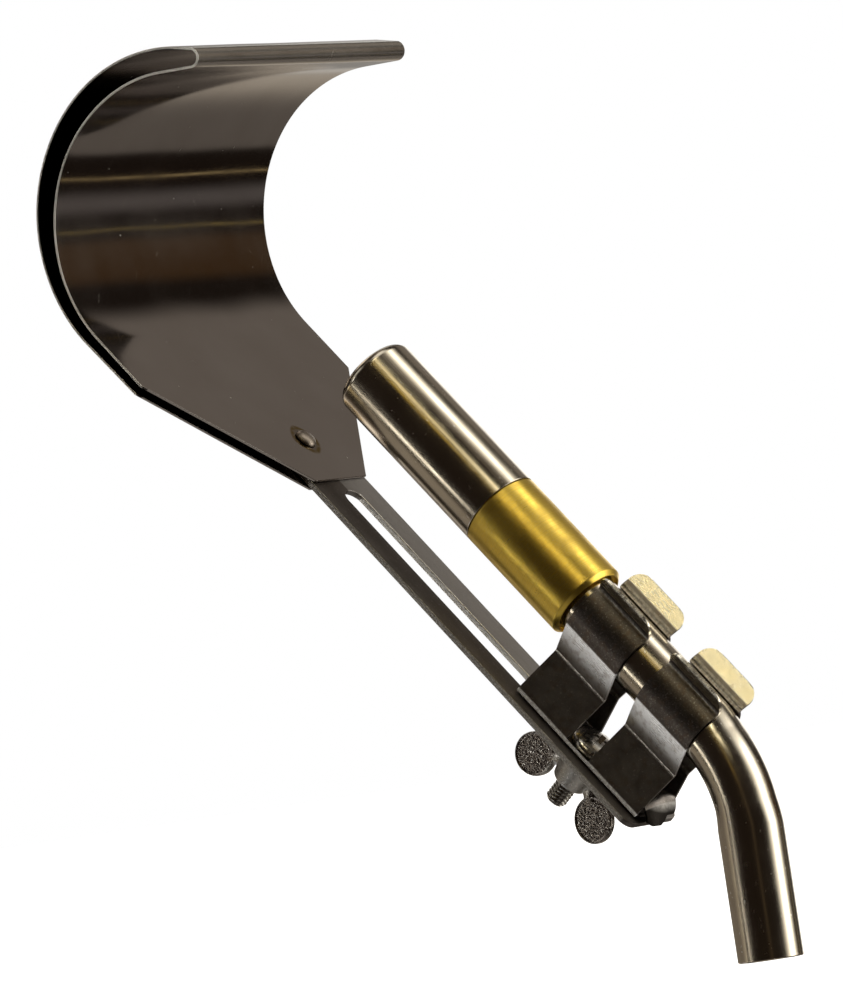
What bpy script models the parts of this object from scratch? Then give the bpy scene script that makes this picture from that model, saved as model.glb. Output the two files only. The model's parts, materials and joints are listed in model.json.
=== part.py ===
"""Hand-torch burner head with a clip-on flame reflector, as separate solids in metres, +Z up.

The origin is the centre of the neck's inlet end, and +Z runs up the neck. The barrel leans
towards -X past the bend. The clamp, arm and reflector are laid out in the clamp frame: its
origin is where the clamp bolt crosses the arm's top face, x runs along the barrel to the flame,
y runs across the arm and z runs from the arm to the barrel.
"""
import math

import bmesh
import bpy
from mathutils import Matrix, Vector

MM = 0.001
GAP = 0.3 * MM                  # clearance between pieces that rest on each other
MERGE = 0.00001

# Neck and barrel
NECK_R = 8.5 * MM
NECK_BORE_R = 7.3 * MM
NECK_BEND = math.radians(39)
BEND_R = 42 * MM
CORNER_HEIGHT = 49.2 * MM       # inlet end to the corner of the bend
CORNER_TO_BOLT = 35.2 * MM      # corner of the bend to the clamp bolt, along the barrel
AXIS_HEIGHT = 28.4 * MM         # arm's top face to the barrel's axis
BARREL_R = 11.1 * MM
COLLAR_START = 25.7 * MM
COLLAR_END = 61 * MM
NECK_END = 46 * MM              # the neck stops against a step in the collar's bore
SPIGOT_END = 68 * MM
SPIGOT_R = 9.9 * MM
TUBE_END = 114 * MM
TUBE_WALL = 0.9 * MM
LIP_R = 2.8 * MM                # the mouth of the flame tube is rolled in by this radius
RING_WIRE_R = 0.45 * MM
RING_PLAY = 0.15 * MM

# Clamp
CLIP_SHEET = 0.7 * MM
CLIP_HUG_R = 9.6 * MM           # outside of the clip where it wraps the neck
CLIP_HALF_WIDTH = 8.65 * MM
CLIP_WAIST = (3.6 * MM, 14.4 * MM)
CLIP_LIP = (9.9 * MM, 41.3 * MM)
CLIP_SPANS = ((-23.4 * MM, -4.0 * MM), (4.4 * MM, 23.7 * MM))
CLIP_HUG_FROM = math.radians(-25)
CLIP_HUG_TO = math.radians(56)
BOLT_R = 2.95 * MM
BOLT_HOLE_R = 3.3 * MM
BOLT_END = -17.2 * MM
BOLT_HEAD_R = 7 * MM

# Arm and reflector
ARM_HALF_WIDTH = 12.2 * MM
ARM_SHEET = 1.6 * MM
ARM_START = -25.2 * MM
ARM_STOP = 130 * MM
SLOT_HALF_WIDTH = 3.57 * MM
SLOT_START = -12.5 * MM
SLOT_STOP = 99 * MM
RIVET_AT = 117.6 * MM
RIVET_HOLE_R = 2.2 * MM
REFLECTOR_SHEET = 0.6 * MM
REFLECTOR_HALF_WIDTH = 48.1 * MM
TAB_HALF_WIDTH = 11.7 * MM
TAB_START = 102.7 * MM
TAPER_END = 142.1 * MM

# Places that follow from the dimensions above
FLAME_DIR = Vector((-math.sin(NECK_BEND), 0, math.cos(NECK_BEND)))
CLAMP_UP = Vector((math.cos(NECK_BEND), 0, math.sin(NECK_BEND)))
ACROSS = Vector((0, -1, 0))
CLAMP_ORIGIN = Vector((0, 0, CORNER_HEIGHT)) + CORNER_TO_BOLT * FLAME_DIR - AXIS_HEIGHT * CLAMP_UP
BEND_TANGENT = BEND_R * math.tan(NECK_BEND / 2)
UNDER_ARM = -ARM_SHEET - GAP
WEB_BOTTOM = GAP
WEB_TOP = WEB_BOTTOM + CLIP_SHEET
TUBE_BORE_R = BARREL_R - TUBE_WALL


def clear_scene():
    for old in list(bpy.data.objects):
        bpy.data.objects.remove(old, do_unlink=True)


def new_collection(name):
    collection = bpy.data.collections.new(name)
    bpy.context.scene.collection.children.link(collection)
    return collection


clear_scene()
PARTS = new_collection("burner_with_flame_reflector")
CUTTERS = new_collection("cutters")


def material(name, colour, roughness, metallic=1.0):
    made = bpy.data.materials.new(name)
    made.use_nodes = True
    shader = made.node_tree.nodes["Principled BSDF"]
    shader.inputs["Base Color"].default_value = (*colour, 1)
    shader.inputs["Roughness"].default_value = roughness
    shader.inputs["Metallic"].default_value = metallic
    return made


STAINLESS = (0.56, 0.53, 0.49)
BRASS = (0.72, 0.55, 0.22)
SPRING_STEEL = (0.20, 0.18, 0.17)
ZINC = (0.62, 0.62, 0.60)


def frame(name, origin, x_axis, y_axis, z_axis, parent=None):
    """An empty whose axes are the three given directions."""
    empty = bpy.data.objects.new(name, None)
    PARTS.objects.link(empty)
    turn = Matrix((x_axis, y_axis, z_axis)).transposed().to_4x4()
    empty.matrix_world = Matrix.Translation(origin) @ turn
    if parent:
        empty.parent = parent
    return empty


CLAMP = frame("clamp_frame", CLAMP_ORIGIN, FLAME_DIR, ACROSS, CLAMP_UP)
BARREL = frame("barrel_frame", Vector((0, 0, AXIS_HEIGHT)), Vector((0, 1, 0)), Vector((0, 0, 1)),
               Vector((1, 0, 0)), CLAMP)


def add_part(name, mesh, parent=None, colour=STAINLESS, roughness=0.3):
    part = bpy.data.objects.new(name, mesh)
    PARTS.objects.link(part)
    mesh.materials.append(material(name, colour, roughness))
    part.parent = parent
    return part


def add_cutter(name, mesh, parent=None):
    cutter = bpy.data.objects.new(name, mesh)
    CUTTERS.objects.link(cutter)
    cutter.parent = parent
    cutter.hide_render = True
    cutter.display_type = 'WIRE'
    return cutter


def mesh_from(shape, name):
    mesh = bpy.data.meshes.new(name)
    shape.to_mesh(mesh)
    shape.free()
    return mesh


def shade(mesh, angle=30):
    mesh.shade_smooth()
    mesh.set_sharp_from_angle(angle=math.radians(angle))
    return mesh


def cylinder_mesh(name, radius, low, high, sides):
    """A cylinder about local Z, from one height to another."""
    shape = bmesh.new()
    bmesh.ops.create_cone(shape, cap_ends=True, segments=sides, radius1=radius, radius2=radius,
                          depth=high - low)
    bmesh.ops.translate(shape, verts=shape.verts, vec=(0, 0, (low + high) / 2))
    return mesh_from(shape, name)


def box_mesh(name, low, high):
    shape = bmesh.new()
    bmesh.ops.create_cube(shape, size=1)
    size = Vector(high) - Vector(low)
    bmesh.ops.scale(shape, vec=size, verts=shape.verts)
    bmesh.ops.translate(shape, vec=(Vector(low) + Vector(high)) / 2, verts=shape.verts)
    return mesh_from(shape, name)


def arc(centre, radius, start, end, steps):
    """Points on an arc, both ends included, with angles in degrees."""
    angles = [math.radians(start + (end - start) * step / steps) for step in range(steps + 1)]
    return [(centre[0] + radius * math.cos(a), centre[1] + radius * math.sin(a)) for a in angles]


def turned(name, outline, parent, colour, roughness, steps=32):
    """Turn (radius, height) points about local Z. They run down the outside and up the inside."""
    mesh = bpy.data.meshes.new(name)
    points = [(radius, 0, height) for radius, height in outline]
    hollow = min(radius for radius, _ in outline) > MERGE
    count = len(points)
    edges = [(i, i + 1) for i in range(count - 1)] + ([(count - 1, 0)] if hollow else [])
    mesh.from_pydata(points, edges, [])
    part = add_part(name, mesh, parent, colour, roughness)
    screw = part.modifiers.new("turn", 'SCREW')
    screw.steps = steps
    screw.render_steps = steps
    screw.use_merge_vertices = True
    screw.merge_threshold = MERGE
    screw.use_smooth_shade = True
    return part


def cut(part, cutter, operation='DIFFERENCE'):
    boolean = part.modifiers.new(cutter.name, 'BOOLEAN')
    boolean.operation = operation
    boolean.solver = 'EXACT'
    boolean.object = cutter


def ring_of_holes(name, radius, pitch_radius, count, low, high, parent):
    """One cutter made of equal round pins on a circle."""
    shape = bmesh.new()
    for index in range(count):
        angle = 2 * math.pi * index / count
        place = Matrix.Translation((pitch_radius * math.cos(angle), pitch_radius * math.sin(angle),
                                    (low + high) / 2))
        bmesh.ops.create_cone(shape, cap_ends=True, segments=12, radius1=radius, radius2=radius,
                              depth=high - low, matrix=place)
    return add_cutter(name, mesh_from(shape, name), parent)


# ---------------------------------------------------------------- neck

def neck_route(overrun):
    """The neck's centre line in the X-Z plane: up, round the bend and along the barrel."""
    points = [Vector((0, 0, -overrun))]
    centre = Vector((-BEND_R, 0, CORNER_HEIGHT - BEND_TANGENT))
    steps = 9
    for step in range(steps + 1):
        angle = NECK_BEND * step / steps
        points.append(centre + BEND_R * Vector((math.cos(angle), 0, math.sin(angle))))
    corner = Vector((0, 0, CORNER_HEIGHT))
    points.append(corner + (CORNER_TO_BOLT + NECK_END + overrun) * FLAME_DIR)
    return points


def rod_curve(name, points, radius, resolution):
    """A round rod along a route, with closed ends."""
    curve = bpy.data.curves.new(name, 'CURVE')
    curve.dimensions = '3D'
    spline = curve.splines.new('POLY')
    spline.points.add(len(points) - 1)
    for point, place in zip(spline.points, points):
        point.co = (*place, 1)
    curve.bevel_depth = radius
    curve.bevel_resolution = resolution
    curve.use_fill_caps = True
    return curve


def wire_ring(name, ring_r, height, opening, parent):
    """A sprung ring of round wire with a gap, for holding a piece inside a tube."""
    points = [Vector((x, y, height)) for x, y in arc((0, 0), ring_r, opening / 2, 360 - opening / 2, 28)]
    curve = rod_curve(name, points, RING_WIRE_R, 2)
    curve.materials.append(material(name, SPRING_STEEL, 0.35))
    ring = bpy.data.objects.new(name, curve)
    PARTS.objects.link(ring)
    ring.parent = parent


def rod_mesh(name, points, radius):
    """The same rod as one closed mesh."""
    curve = rod_curve(name, points, radius, 12)
    holder = bpy.data.objects.new(name, curve)
    CUTTERS.objects.link(holder)
    bpy.context.view_layer.update()
    mesh = bpy.data.meshes.new_from_object(holder.evaluated_get(bpy.context.evaluated_depsgraph_get()))
    bpy.data.objects.remove(holder)
    shape = bmesh.new()
    shape.from_mesh(mesh)
    bmesh.ops.remove_doubles(shape, verts=shape.verts, dist=MERGE)
    bmesh.ops.recalc_face_normals(shape, faces=shape.faces)
    shape.to_mesh(mesh)
    shape.free()
    return mesh


def make_neck():
    neck = add_part("neck_tube", shade(rod_mesh("neck_tube", neck_route(0), NECK_R)))
    bore = add_cutter("neck_bore", rod_mesh("neck_bore", neck_route(2 * MM), NECK_BORE_R))
    cut(neck, bore)


# ---------------------------------------------------------------- burner head

def make_collar():
    recess_r = 9.7 * MM
    chamfer = 1.1 * MM
    bore_r = NECK_R + GAP
    seat = NECK_END + GAP
    outline = [
        (SPIGOT_R - 0.4 * MM, SPIGOT_END), (SPIGOT_R, SPIGOT_END - 0.4 * MM), (SPIGOT_R, COLLAR_END),
        (BARREL_R, COLLAR_END), (BARREL_R, COLLAR_START + chamfer),
        (BARREL_R - chamfer, COLLAR_START), (recess_r, COLLAR_START),
        (recess_r, COLLAR_START + 1.4 * MM), (bore_r, COLLAR_START + 1.4 * MM),
        (bore_r, seat), (NECK_BORE_R, seat), (NECK_BORE_R, SPIGOT_END)]
    turned("brass_collar", outline, BARREL, BRASS, 0.35)


def make_flame_tube():
    start = COLLAR_END + GAP
    outer_roll = arc((BARREL_R - LIP_R, TUBE_END - LIP_R), LIP_R, 90, 0, 5)
    inner_roll = arc((BARREL_R - LIP_R, TUBE_END - LIP_R), LIP_R - TUBE_WALL, 0, 90, 5)
    outline = outer_roll + [(BARREL_R, start), (TUBE_BORE_R, start)] + inner_roll
    turned("flame_tube", outline, BARREL, STAINLESS, 0.2, steps=36)


HOLDER_LOW = SPIGOT_END + GAP
HOLDER_HIGH = HOLDER_LOW + 2.4 * MM
HOLDER_R = TUBE_BORE_R - GAP
VANE_LOW = HOLDER_HIGH + GAP
VANE_HIGH = VANE_LOW + 6 * MM
PIN_R = 1.5 * MM


def make_flame_holder():
    """A perforated disc that sits on the collar's spigot and anchors the flame."""
    outline = [(HOLDER_R, HOLDER_HIGH), (HOLDER_R, HOLDER_LOW),
               (PIN_R + GAP, HOLDER_LOW), (PIN_R + GAP, HOLDER_HIGH)]
    holder = turned("flame_holder", outline, BARREL, BRASS, 0.4)
    ports = ring_of_holes("holder_ports", 1.5 * MM, 5.3 * MM, 8, HOLDER_LOW - MM, HOLDER_HIGH + MM, BARREL)
    cut(holder, ports)


def make_swirl_vanes():
    """Six twisted blades round a hub, which spin the burning gas."""
    hub_r = 2.9 * MM
    outline = [(hub_r, VANE_HIGH), (hub_r, VANE_LOW), (PIN_R + GAP, VANE_LOW), (PIN_R + GAP, VANE_HIGH)]
    vanes = turned("swirl_vanes", outline, BARREL, BRASS, 0.4, steps=24)
    tip_r = TUBE_BORE_R - 1.5 * MM
    half_thick = 0.4 * MM
    twist = math.radians(32)
    layers = 4
    shape = bmesh.new()
    for blade in range(6):
        heading = 2 * math.pi * blade / 6
        rings = []
        for layer in range(layers + 1):
            part_way = layer / layers
            turn = Matrix.Rotation(heading + twist * part_way, 4, 'Z')
            height = VANE_LOW + 0.5 * MM + (VANE_HIGH - VANE_LOW - MM) * part_way
            corners = ((hub_r - 0.6 * MM, -half_thick), (tip_r, -half_thick),
                       (tip_r, half_thick), (hub_r - 0.6 * MM, half_thick))
            rings.append([shape.verts.new(turn @ Vector((x, y, height))) for x, y in corners])
        for low_ring, high_ring in zip(rings, rings[1:]):
            for side in range(4):
                after = (side + 1) % 4
                shape.faces.new((low_ring[side], low_ring[after], high_ring[after], high_ring[side]))
        shape.faces.new(rings[0][::-1])
        shape.faces.new(rings[-1])
    blades = add_cutter("swirl_blades", mesh_from(shape, "swirl_blades"), BARREL)
    cut(vanes, blades, 'UNION')


def make_vane_pin():
    """The headed pin that holds the vanes to the perforated disc."""
    head_r = 2.7 * MM
    low = HOLDER_LOW - 1.6 * MM
    high = VANE_HIGH + 1.5 * MM
    outline = [(0, high), (0.8 * MM, high), (head_r, high - 0.9 * MM), (head_r, VANE_HIGH + GAP),
               (PIN_R, VANE_HIGH + GAP), (PIN_R, HOLDER_LOW - GAP), (head_r, HOLDER_LOW - GAP),
               (head_r, low), (0, low)]
    turned("vane_pin", outline, BARREL, ZINC, 0.35, steps=24)


def make_holder_ring():
    """Keeps the flame holder on its seat."""
    height = HOLDER_HIGH + RING_PLAY + RING_WIRE_R
    wire_ring("holder_ring", TUBE_BORE_R - RING_WIRE_R - RING_PLAY, height, 24, BARREL)


# ---------------------------------------------------------------- gas inlet

CARRIER_LOW = 1.6 * MM
CARRIER_HIGH = 8.4 * MM
JET_R = 2.4 * MM
VENTURI_LOW = 15.5 * MM
VENTURI_HIGH = 33.5 * MM


def make_inlet():
    """Jet carrier and its ring, jet with its filter and washer, and the mixing throat."""
    fit_r = NECK_BORE_R - GAP
    hole_r = JET_R + GAP
    carrier = turned("jet_carrier",
                     [(fit_r - 0.5 * MM, CARRIER_HIGH), (fit_r, CARRIER_HIGH - 0.5 * MM),
                      (fit_r, CARRIER_LOW + 0.5 * MM), (fit_r - 0.5 * MM, CARRIER_LOW),
                      (hole_r, CARRIER_LOW), (hole_r, CARRIER_HIGH)], None, BRASS, 0.35)
    ports = ring_of_holes("air_ports", 1.1 * MM, 5.0 * MM, 6, CARRIER_LOW - MM, CARRIER_HIGH + MM, None)
    cut(carrier, ports)
    ring_height = CARRIER_LOW - RING_PLAY - RING_WIRE_R
    wire_ring("carrier_ring", NECK_BORE_R - RING_WIRE_R - RING_PLAY, ring_height, 30, None)

    washer_low = CARRIER_HIGH + GAP
    washer_high = washer_low + 0.6 * MM
    turned("jet_washer", [(3.6 * MM, washer_high), (3.6 * MM, washer_low),
                          (hole_r, washer_low), (hole_r, washer_high)],
           None, (0.62, 0.32, 0.2), 0.4, steps=24)

    shoulder = washer_high + GAP
    jet_low = 2.2 * MM
    filter_seat = 5.5 * MM
    turned("gas_jet", [(0.9 * MM, shoulder + 5.2 * MM), (1.9 * MM, shoulder + 2.2 * MM),
                       (3.4 * MM, shoulder + 2.0 * MM), (3.4 * MM, shoulder), (JET_R, shoulder),
                       (JET_R, jet_low), (1.6 * MM, jet_low), (1.6 * MM, filter_seat),
                       (0.5 * MM, filter_seat + 0.8 * MM), (0.3 * MM, shoulder + 5.2 * MM)],
           None, BRASS, 0.3, steps=24)
    turned("jet_filter", [(0, 4.8 * MM), (1.3 * MM, 4.8 * MM), (1.3 * MM, 2.8 * MM), (0, 2.8 * MM)],
           None, (0.5, 0.36, 0.2), 0.8, steps=20)

    throat_r = 3.4 * MM
    mouth_r = 6.4 * MM
    outline = [(fit_r, VENTURI_HIGH), (fit_r, VENTURI_LOW), (mouth_r, VENTURI_LOW)]
    outline += [(throat_r + (mouth_r - throat_r) * (1 - math.sin(math.pi / 2 * s / 4)),
                 VENTURI_LOW + 5 * MM * s / 4) for s in range(1, 5)]
    outline += [(throat_r, VENTURI_LOW + 7.5 * MM), (mouth_r, VENTURI_HIGH)]
    turned("mixing_throat", outline, None, ZINC, 0.4, steps=32)


# ---------------------------------------------------------------- spring clip

def clip_half_outline():
    """Outside of the clip from the middle of its web to one lip, as (across, up) points.

    The wall leans in from the web to the waist, bows out to the neck, wraps it and flares.
    """
    bend_r = 1.2 * MM
    waist = Vector(CLIP_WAIST)
    corner = Vector((CLIP_HALF_WIDTH, WEB_BOTTOM + bend_r))
    points = [Vector((0, WEB_BOTTOM)), Vector((5.6 * MM, WEB_BOTTOM))]
    points += [Vector(p) for p in arc((CLIP_HALF_WIDTH - bend_r, WEB_BOTTOM + bend_r), bend_r, -90, 0, 4)]
    points += [corner.lerp(waist, share) for share in (0.05, 0.42, 1.0)]
    hug = [Vector(p) for p in arc((0, AXIS_HEIGHT), CLIP_HUG_R, math.degrees(CLIP_HUG_FROM),
                                  math.degrees(CLIP_HUG_TO), 8)]
    hollow = 0.7 * MM           # how far the band under the neck bows in
    bow = (hug[0] - waist).orthogonal().normalized() * hollow
    if bow.x > 0:
        bow = -bow
    for share in (0.25, 0.5, 0.75):
        points.append(waist.lerp(hug[0], share) + bow * 4 * share * (1 - share))
    points += hug
    lip = Vector(CLIP_LIP)
    points += [hug[-1].lerp(lip, share) for share in (0.25, 0.5, 0.68, 0.84, 0.94, 1.0)]
    return points


def lip_trim(points, index, corner_r):
    """How much shorter the clip is at this point, so that the lip's corners come out round."""
    left = (points[-1] - points[index]).length
    if left >= corner_r or points[index].y < AXIS_HEIGHT:
        return 0.0
    return corner_r - math.sqrt(corner_r ** 2 - (corner_r - left) ** 2)


def make_spring_clip():
    half = clip_half_outline()
    trims = [lip_trim(half, index, 4 * MM) for index in range(len(half))]
    outline = [Vector((-p.x, p.y)) for p in half[:0:-1]] + half
    trims = trims[:0:-1] + trims
    near_floor = 2.0 * MM       # the slots between the two pairs of jaws stop above the web
    far_floor = 6.6 * MM
    shape = bmesh.new()
    columns = []
    for low, high in CLIP_SPANS:
        for end, sign in ((low, 1), (high, -1)):
            columns.append([shape.verts.new((end + sign * trim, p.x, p.y))
                            for p, trim in zip(outline, trims)])
    for left, right, bridge in ((0, 1, False), (1, 2, True), (2, 3, False)):
        for row in range(len(outline) - 1):
            top = max(outline[row].y, outline[row + 1].y)
            floor = near_floor if outline[row].x > 0 else far_floor
            if bridge and top > floor:
                continue
            shape.faces.new((columns[left][row], columns[right][row],
                             columns[right][row + 1], columns[left][row + 1]))
    tail = ((0.9, 0.5), (1.7, 2.0), (2.6, 2.9), (3.5, 2.5), (4.3, 1.0))
    flat_rows = [row for row, p in enumerate(outline) if abs(p.x) <= 5.7 * MM and p.y < WEB_BOTTOM + MERGE]
    previous = [columns[0][row] for row in flat_rows]
    for away, rise in tail:
        ring = [shape.verts.new((CLIP_SPANS[0][0] - away * MM, outline[row].x, WEB_BOTTOM + rise * MM))
                for row in flat_rows]
        for one in range(len(ring) - 1):
            shape.faces.new((ring[one], previous[one], previous[one + 1], ring[one + 1]))
        previous = ring
    clip = add_part("spring_clip", mesh_from(shape, "spring_clip"), CLAMP, SPRING_STEEL, 0.35)
    thick = clip.modifiers.new("sheet", 'SOLIDIFY')
    thick.thickness = CLIP_SHEET
    thick.offset = 1
    thick.use_even_offset = True
    drill = cylinder_mesh("clip_bolt_hole", BOLT_HOLE_R, -MM, 2.5 * MM, 24)
    cut(clip, add_cutter("clip_bolt_hole", drill, CLAMP))


# ---------------------------------------------------------------- bolt, washer and wing nut

WASHER_TOP = UNDER_ARM
WASHER_BOTTOM = WASHER_TOP - 1.0 * MM
NUT_TOP = WASHER_BOTTOM - GAP
NUT_BOTTOM = -10.6 * MM


def make_clamp_bolt():
    """A round cross-recess head inside the clip, on a plain-sided stand-in for the thread."""
    seat = WEB_TOP + GAP
    rim = seat + 0.9 * MM
    rise = 2.6 * MM
    point = 0.6 * MM
    outline = [(0, rim + rise)]
    outline += [(BOLT_HEAD_R * x, rim + rise * y) for x, y in arc((0, 0), 1, 72, 0, 4)]
    outline += [(BOLT_HEAD_R, seat), (BOLT_R, seat), (BOLT_R, BOLT_END + point),
                (BOLT_R - point, BOLT_END), (0, BOLT_END)]
    bolt = turned("clamp_bolt", outline, CLAMP, ZINC, 0.3, steps=32)
    top = rim + rise
    for name, turn in (("recess_one", 20), ("recess_two", 110)):
        slot = add_cutter(name, box_mesh(name, (-3.2 * MM, -0.7 * MM, top - 2.0 * MM),
                                         (3.2 * MM, 0.7 * MM, top + MM)), CLAMP)
        slot.rotation_euler.z = math.radians(turn)
        cut(bolt, slot)


def make_washer():
    turned("plain_washer", [(6 * MM, WASHER_TOP), (6 * MM, WASHER_BOTTOM), (3.25 * MM, WASHER_BOTTOM),
                            (3.25 * MM, WASHER_TOP)], CLAMP, ZINC, 0.3, steps=32)


def make_wing_nut():
    """A cone-shaped hub with two round wings that lie in the plane of the barrel."""
    bore_r = BOLT_R + 0.25 * MM
    nut = turned("wing_nut", [(6.2 * MM, NUT_TOP), (6.2 * MM, NUT_TOP - 1.2 * MM),
                              (4.9 * MM, NUT_BOTTOM + 0.5 * MM), (4.4 * MM, NUT_BOTTOM),
                              (bore_r, NUT_BOTTOM), (bore_r, NUT_TOP)], CLAMP, ZINC, 0.45, steps=32)
    wing_out = 12.2 * MM
    wing_down = -12.2 * MM
    wing_r = 5.8 * MM
    half_thick = 1.15 * MM
    for name, side in (("wing_a", 1), ("wing_b", -1)):
        disc = add_cutter(name, cylinder_mesh(name, wing_r, -half_thick, half_thick, 28), CLAMP)
        disc.location = (side * wing_out, 0, wing_down)
        disc.rotation_euler.x = math.pi / 2
        root = Vector((side * 5.0 * MM, 0, -6.9 * MM))
        reach = Vector((side * 8.6 * MM, 0, -9.6 * MM)) - root
        bar_name = name + "_root"
        bar = add_cutter(bar_name, box_mesh(bar_name, (0, -half_thick * 0.9, -2.3 * MM),
                                            (reach.length, half_thick * 0.9, 2.3 * MM)), CLAMP)
        bar.location = root
        bar.rotation_euler.y = -math.atan2(reach.z, reach.x)
        cut(nut, disc, 'UNION')
        cut(nut, bar, 'UNION')


# ---------------------------------------------------------------- arm, reflector and rivet

def flat_outline(name, loops, low, high):
    """A plate in the clamp frame's x-y plane. The first loop is its edge and the rest are holes."""
    curve = bpy.data.curves.new(name, 'CURVE')
    curve.dimensions = '2D'
    curve.fill_mode = 'BOTH'
    curve.extrude = (high - low) / 2
    for loop in loops:
        spline = curve.splines.new('POLY')
        spline.points.add(len(loop) - 1)
        spline.use_cyclic_u = True
        for point, (x, y) in zip(spline.points, loop):
            point.co = (x, y, 0, 1)
    return curve


def make_slotted_arm():
    corner_r = 3.5 * MM
    edge = []
    for x, y, start in ((ARM_STOP, ARM_HALF_WIDTH, 0), (ARM_START, ARM_HALF_WIDTH, 90),
                        (ARM_START, -ARM_HALF_WIDTH, 180), (ARM_STOP, -ARM_HALF_WIDTH, 270)):
        centre = (x - math.copysign(corner_r, x), y - math.copysign(corner_r, y))
        edge += arc(centre, corner_r, start, start + 90, 5)
    slot = arc((SLOT_STOP - SLOT_HALF_WIDTH, 0), SLOT_HALF_WIDTH, 90, -90, 10)
    slot += arc((SLOT_START + SLOT_HALF_WIDTH, 0), SLOT_HALF_WIDTH, -90, -270, 10)
    rivet_hole = arc((RIVET_AT, 0), RIVET_HOLE_R, 0, 360 - 18, 19)
    curve = flat_outline("slotted_arm", (edge, slot, rivet_hole), -ARM_SHEET, 0)
    curve.materials.append(material("slotted_arm", (0.4, 0.38, 0.36), 0.4))
    arm = bpy.data.objects.new("slotted_arm", curve)
    PARTS.objects.link(arm)
    arm.parent = CLAMP
    arm.location.z = -ARM_SHEET / 2


def reflector_path():
    """Middle of the folded sheet, seen from the side, as (along, up) points in the clamp frame.

    It runs along the tab, up the inner curve, round the fold at the top and back down outside.
    """
    inner_level = GAP + REFLECTOR_SHEET / 2
    outer_level = UNDER_ARM - REFLECTOR_SHEET / 2
    inner_r = 39.7 * MM
    inner_centre = (160 * MM, inner_level + inner_r)
    outer_r = 43.6 * MM
    outer_centre = (162.5 * MM, 41 * MM)
    fold_r = 2.35 * MM
    path = [(TAB_START, inner_level), (TAPER_END, inner_level)]
    path += arc(inner_centre, inner_r, -90, 40, 16)
    lean = math.radians(130)
    last = path[-1]
    flare = 10.2 * MM
    path.append((last[0] + flare * math.cos(lean), last[1] + flare * math.sin(lean)))
    heading = math.degrees(lean)
    last = path[-1]
    fold_centre = (last[0] + fold_r * math.cos(lean - math.pi / 2),
                   last[1] + fold_r * math.sin(lean - math.pi / 2))
    path += arc(fold_centre, fold_r, heading + 90, heading + 90 - 172, 8)[1:]
    path += arc(outer_centre, outer_r, 47, -90, 17)
    path += [(TAPER_END, outer_level), (TAB_START, outer_level)]
    return path


def half_width_at(along):
    share = min(1.0, max(0.0, (along - TAB_START) / (TAPER_END - TAB_START)))
    return TAB_HALF_WIDTH + share * (REFLECTOR_HALF_WIDTH - TAB_HALF_WIDTH)


def make_reflector():
    shape = bmesh.new()
    rows = []
    for along, up in reflector_path():
        half = half_width_at(along)
        rows.append([shape.verts.new((along, side * half, up)) for side in (-1, 0, 1)])
    for row, after in zip(rows, rows[1:]):
        for column in (0, 1):
            shape.faces.new((row[column], after[column], after[column + 1], row[column + 1]))
    shell = add_part("reflector_shell", mesh_from(shape, "reflector_shell"), CLAMP, (0.33, 0.3, 0.28), 0.3)
    thick = shell.modifiers.new("sheet", 'SOLIDIFY')
    thick.thickness = REFLECTOR_SHEET
    thick.offset = 0
    thick.use_even_offset = True
    drill = cylinder_mesh("reflector_rivet_hole", RIVET_HOLE_R, -5 * MM, 3 * MM, 20)
    hole = add_cutter("reflector_rivet_hole", drill, CLAMP)
    hole.location.x = RIVET_AT
    cut(shell, hole)


def make_rivet():
    """A domed head in the bowl of the reflector, and the set end on its back."""
    face = GAP + REFLECTOR_SHEET + 0.2 * MM
    back = UNDER_ARM - REFLECTOR_SHEET - 0.2 * MM
    head_r = 3.3 * MM
    shank_r = 1.9 * MM
    dome = [(head_r * math.sin(math.radians(a)), face + 1.5 * MM * math.cos(math.radians(a)))
            for a in range(0, 91, 18)]
    outline = dome + [(shank_r, face), (shank_r, back), (head_r, back),
                      (head_r - 0.4 * MM, back - 0.9 * MM), (0, back - 0.9 * MM)]
    rivet = turned("reflector_rivet", outline, CLAMP, (0.3, 0.24, 0.2), 0.4, steps=24)
    rivet.location.x = RIVET_AT


make_neck()
make_collar()
make_flame_tube()
make_flame_holder()
make_swirl_vanes()
make_vane_pin()
make_holder_ring()
make_inlet()
make_spring_clip()
make_clamp_bolt()
make_washer()
make_wing_nut()
make_slotted_arm()
make_reflector()
make_rivet()
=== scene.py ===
"""Finished look of a hand-torch burner head with a clip-on flame reflector, built round its CAD frame.

Metres, +Z up. Most pieces are made in the clamp frame, whose origin is where the clamp bolt crosses
the arm's top face: x runs along the barrel to the flame, y across the arm and z from the arm up to
the barrel. Round burner parts are made in the barrel frame, whose z is the barrel's axis.
"""
import json
import math

import bmesh
import bpy
from mathutils import Matrix, Vector, noise


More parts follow.
